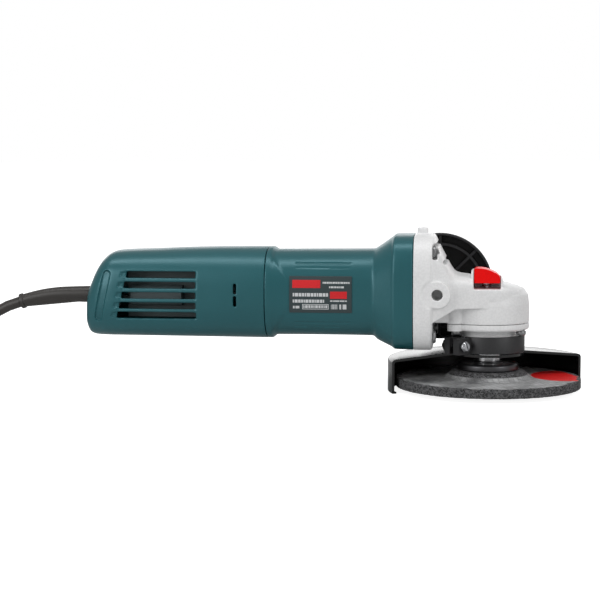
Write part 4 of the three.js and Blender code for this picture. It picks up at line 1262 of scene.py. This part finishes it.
HUB_RISE, DISC_BORE = 4.8, 11.1
HUB_TOP = DISC_BOTTOM + DISC_THICKNESS + HUB_RISE
RIM_RADIUS, GRIT_DEPTH = DISC_RADIUS - 0.1, 0.35


def grinding_disc():
    """Disc with a raised centre; its rim and underside are rough with grit."""
    top = DISC_BOTTOM + DISC_THICKNESS
    outline = [
        (DISC_BORE, HUB_TOP), (20.5, HUB_TOP), (22.4, HUB_TOP - 0.6), (26.4, top + 0.5), (28, top),
        (44, top), *[(RIM_RADIUS, top - 1.4 * k) for k in range(4)], (RIM_RADIUS, DISC_BOTTOM),
        (44, DISC_BOTTOM), (25.5, DISC_BOTTOM), (19.6, DISC_BOTTOM + HUB_RISE),
        (DISC_BORE, DISC_BOTTOM + HUB_RISE),
    ]
    disc = turned("grinding_disc_bonded", outline, sides=360, radius=0.35)
    random = np.random.default_rng(7)
    for vertex in disc.data.vertices:
        radius = math.hypot(vertex.co.x, vertex.co.y) / MM
        if radius > DISC_RADIUS - 1:
            pull = 1 - random.uniform(0, GRIT_DEPTH) / radius
            vertex.co.x *= pull
            vertex.co.y *= pull
            vertex.co.z += random.uniform(-0.08, 0.08) * MM * (radius > DISC_RADIUS - 0.5)
    placed(disc, "spindle_assembly", "abrasive", "abrasive", "grinding_disc", angle=50)


grinding_disc()


def spindle_parts():
    """The threaded spindle, the flange above the disc and the nut below it."""
    thread = []
    for z in [-45.6 - 2 * k for k in range(7)]:
        thread += [(6.9, z), (6.9, z - 0.5), (6.25, z - 1.1), (6.25, z - 1.4)]
    outline = [
        (0, 1.4), (3.2, 1.4), (3.2, -6.8), (6, -6.8), (6, -26), (8.3, -26), (8.3, -42.2),
        (6.9, -42.2), *thread, (6.2, -58.6), (6.2, -59), (0, -59),
    ]
    spindle = turned("spindle_ground", outline, sides=64, radius=0.2)
    placed(spindle, "spindle_assembly", "turned_steel", "bright_steel", "spindle")
    outline = [
        (7.2, -42.5), (9.4, -42.5), (9.4, -43.1), (17.6, -43.1), (19, -44.2), (19, HUB_TOP + 0.3),
        (10.7, HUB_TOP + 0.3), (10.7, -53.2), (7.2, -53.2),
    ]
    flange = turned("inner_flange_turned", outline, radius=0.5)
    placed(flange, "spindle_assembly", "dark_steel", "black_steel", "inner_flange")
    top = DISC_BOTTOM + HUB_RISE - 0.3
    outline = [(7.2, top), (18.2, top), (18.2, top - 2.6), (15.6, top - 4.9), (7.2, top - 4.9)]
    nut = turned("clamping_nut_turned", outline, radius=0.5)
    combined(nut, [rod("hole", "z", 2.4, top - 6, top - 1.5, (12 * side, 0), 32) for side in (-1, 1)])
    placed(nut, "spindle_assembly", "dark_steel", "black_steel", "clamping_nut")


spindle_parts()

# -------- guard and its clamp

GUARD_RADIUS, GUARD_SHEET, GUARD_BOTTOM = 62.3, 1.5, -61.2
COLLAR_RADIUS, COLLAR_TOP, COLLAR_BOTTOM = 22.6, -25.7, -36.1
CLAMP_AZIMUTH, CLAMP_REACH, CLAMP_HEIGHT = 227.5, 28.6, -31
GUARD_AZIMUTH = 20


def about_spindle(piece, degrees):
    piece.data.transform(turn_about("Z", degrees))
    return piece


def guard():
    """A sloping plate round half of the disc, with a wall and a rolled lip, and a whole hub."""
    inside = GUARD_RADIUS - GUARD_SHEET
    outline = [
        (21.2, -36.5), (60.2, -40), (61.8, -40.7), (GUARD_RADIUS, -42), (GUARD_RADIUS, GUARD_BOTTOM),
        (59.4, GUARD_BOTTOM), (59.4, GUARD_BOTTOM + 1.1), (inside, GUARD_BOTTOM + 1.6),
        (inside, -42.3), (60, -41.6), (21.2, -38.1),
    ]
    shell = turned("guard_pressing", outline, sides=180, radius=0.5)
    half = about_spindle(box_piece("half", (-70, 70), (0, 70), (-70, -30)), GUARD_AZIMUTH)
    combined(half, [rod("hub", "z", 22, -70, -30, sides=96)], "UNION")
    combined(shell, [half], "INTERSECT")
    placed(softened(shell, 0.35, 40), "guard_assembly", "gloss_black", "black_steel", "guard")


guard()


def guard_clamp():
    """The split collar that holds the guard, with its screw and nut."""
    bore = 20.65
    outline = [
        (bore, COLLAR_TOP), (COLLAR_RADIUS, COLLAR_TOP), (COLLAR_RADIUS, COLLAR_BOTTOM),
        (bore, COLLAR_BOTTOM),
    ]
    collar = turned("clamp_collar_band", outline, sides=128, radius=0.3)
    lugs = box_piece("lugs", (21, 33), (-6, 6), (COLLAR_BOTTOM, COLLAR_TOP - 0.4))
    combined(collar, [lugs], "UNION")
    cuts = [
        rod("bore", "z", bore, -45, -20, sides=128),
        box_piece("split", (15, 40), (-1.5, 1.5), (-45, -20)),
        rod("hole", "y", 2.3, -10, 10, (CLAMP_REACH, CLAMP_HEIGHT)),
    ]
    combined(collar, cuts)
    softened(about_spindle(collar, CLAMP_AZIMUTH), 0.6, 40, 3)
    placed(collar, "guard_assembly", "burnished_band", "black_steel", "clamp_collar")
    outline = [(0, -9.4), (2, -9.4), (2, 6.3), (3.3, 6.3), (3.3, 8.0), (2.4, 9.2), (0, 9.2)]
    screw = turned("clamp_screw_turned", outline, "y", (CLAMP_REACH, 0, CLAMP_HEIGHT), 48, 0.3)
    slot = box_piece("slot", (-0.45, 0.45), (8.2, 12), (-5, 5))
    set_down(slot, (CLAMP_REACH, 0, CLAMP_HEIGHT), turn_about("Y", 24))
    combined(screw, [slot])
    softened(about_spindle(screw, CLAMP_AZIMUTH), 0.12, 40)
    placed(screw, "guard_assembly", "bright_steel", "bright_steel", "clamp_screw")
    nut = rod("clamp_nut_hex", "y", 3.7, -9.2, -6.3, (CLAMP_REACH, CLAMP_HEIGHT), 6)
    combined(nut, [rod("thread", "y", 2.3, -12, -3, (CLAMP_REACH, CLAMP_HEIGHT), 32)])
    softened(about_spindle(nut, CLAMP_AZIMUTH), 0.3, 30)
    placed(nut, "guard_assembly", "black_steel", "black_steel", "clamp_nut")


guard_clamp()

# -------- side handle


def side_handle():
    """Waisted grip with five grooves, behind a round hand guard with ribs and a hoop."""
    face, rim = 36, 34.2
    grip = [
        (0, BOSS_FACE + 0.3), (9, BOSS_FACE + 0.3), (9.6, face + 4.5), (32.6, face + 4.5),
        (32.6, face), (rim, face), (rim, face + 6), (31, face + 7.4), (15, face + 8),
        (13, face + 12), (13.6, 60), (15.2, 70), (15.8, 80), (15.8, 98), (15.2, 108), (14.6, 118),
        (14.6, 128), (15.4, 134), (16.6, 141), (16.6, 146), (14.6, 150.4), (11, 152), (0, 152),
    ]
    place = (HANDLE_X, 0, HANDLE_Z)
    handle = turned("side_handle_moulding", grip, "y", place, 96, 0.9)
    additions = []
    for i in range(8):
        rib = box_piece("rib", (8.3, 33.3), (face + 1.5, face + 4.9), (-0.8, 0.8))
        additions.append(set_down(rib, place, turn_about("Y", 45 * i)))
    hoop = [(26.2, face + 1.5), (27.8, face + 1.5), (27.8, face + 5), (26.2, face + 5)]
    additions.append(turned("hoop", hoop, "y", place, radius=0.0))
    combined(handle, additions, "UNION")
    cuts = []
    for y in (76, 82, 88, 94, 100):
        groove = [(15.15, y - 0.9), (18, y - 1.3), (18, y + 1.3), (15.15, y + 0.9)]
        cuts.append(turned("groove", groove, "y", place, radius=0.0))
    cuts.append(rod("bore", "y", 4.3, 30, 62, (HANDLE_X, HANDLE_Z)))
    softened(combined(handle, cuts), 0.45, 32, 3)
    placed(handle, "tool", "handle_plastic", "black_plastic", "side_handle")


side_handle()

# -------- frame pieces that stay


SHARP_ANGLE = 33


def smooth_by_angle():
    """A modifier group that shades faces smooth except across sharp edges."""
    group = bpy.data.node_groups.new("smooth_by_angle", "GeometryNodeTree")
    group.interface.new_socket("Geometry", in_out="INPUT", socket_type="NodeSocketGeometry")
    group.interface.new_socket("Geometry", in_out="OUTPUT", socket_type="NodeSocketGeometry")
    nodes, links = group.nodes, group.links
    start, end = nodes.new("NodeGroupInput"), nodes.new("NodeGroupOutput")
    angle = nodes.new("GeometryNodeInputMeshEdgeAngle")
    sharp = nodes.new("FunctionNodeCompare")
    sharp.operation = "GREATER_THAN"
    sharp.inputs[1].default_value = math.radians(SHARP_ANGLE)
    links.new(angle.outputs["Unsigned Angle"], sharp.inputs[0])
    faces = nodes.new("GeometryNodeSetShadeSmooth")
    links.new(start.outputs[0], faces.inputs["Geometry"])
    flip = nodes.new("FunctionNodeBooleanMath")
    flip.operation = "NOT"
    links.new(sharp.outputs[0], flip.inputs[0])
    edges = nodes.new("GeometryNodeSetShadeSmooth")
    edges.domain = "EDGE"
    links.new(faces.outputs["Geometry"], edges.inputs["Geometry"])
    links.new(flip.outputs[0], edges.inputs["Shade Smooth"])
    links.new(edges.outputs["Geometry"], end.inputs[0])
    return group


def finish_frame_nodes():
    group = smooth_by_angle()
    slots = {entry["node"]: entry["material_slot"] for entry in frame["record"]["subparts"]}
    for name, node in frame["nodes"].items():
        material = MATERIALS["module_plastic" if name == "switch_module" else slots[name]]
        node.data.materials.clear()
        node.data.materials.append(material)
        if node.hide_render:
            continue
        softened(node, 0.15, SHARP_ANGLE)
        node.modifiers.new("smooth", "NODES").node_group = group


finish_frame_nodes()


def floor_material():
    """A pale sweep, lit evenly to the eye, that takes only soft shadows."""
    s = Shader("floor")
    seen = s.node("ShaderNodeLightPath").outputs["Is Camera Ray"]
    return s.finish({
        "Base Color": (0.6, 0.6, 0.6),
        "Roughness": 0.95,
        "Emission Color": (1, 1, 1),
        "Emission Strength": s.times(seen, 0.9),
    })


def make_floor():
    floor = box_piece("studio_floor", (-9000, 9000), (-3000, 30000), (FLOOR - 3, FLOOR - 0.02))
    floor.data.materials.append(floor_material())


make_floor()
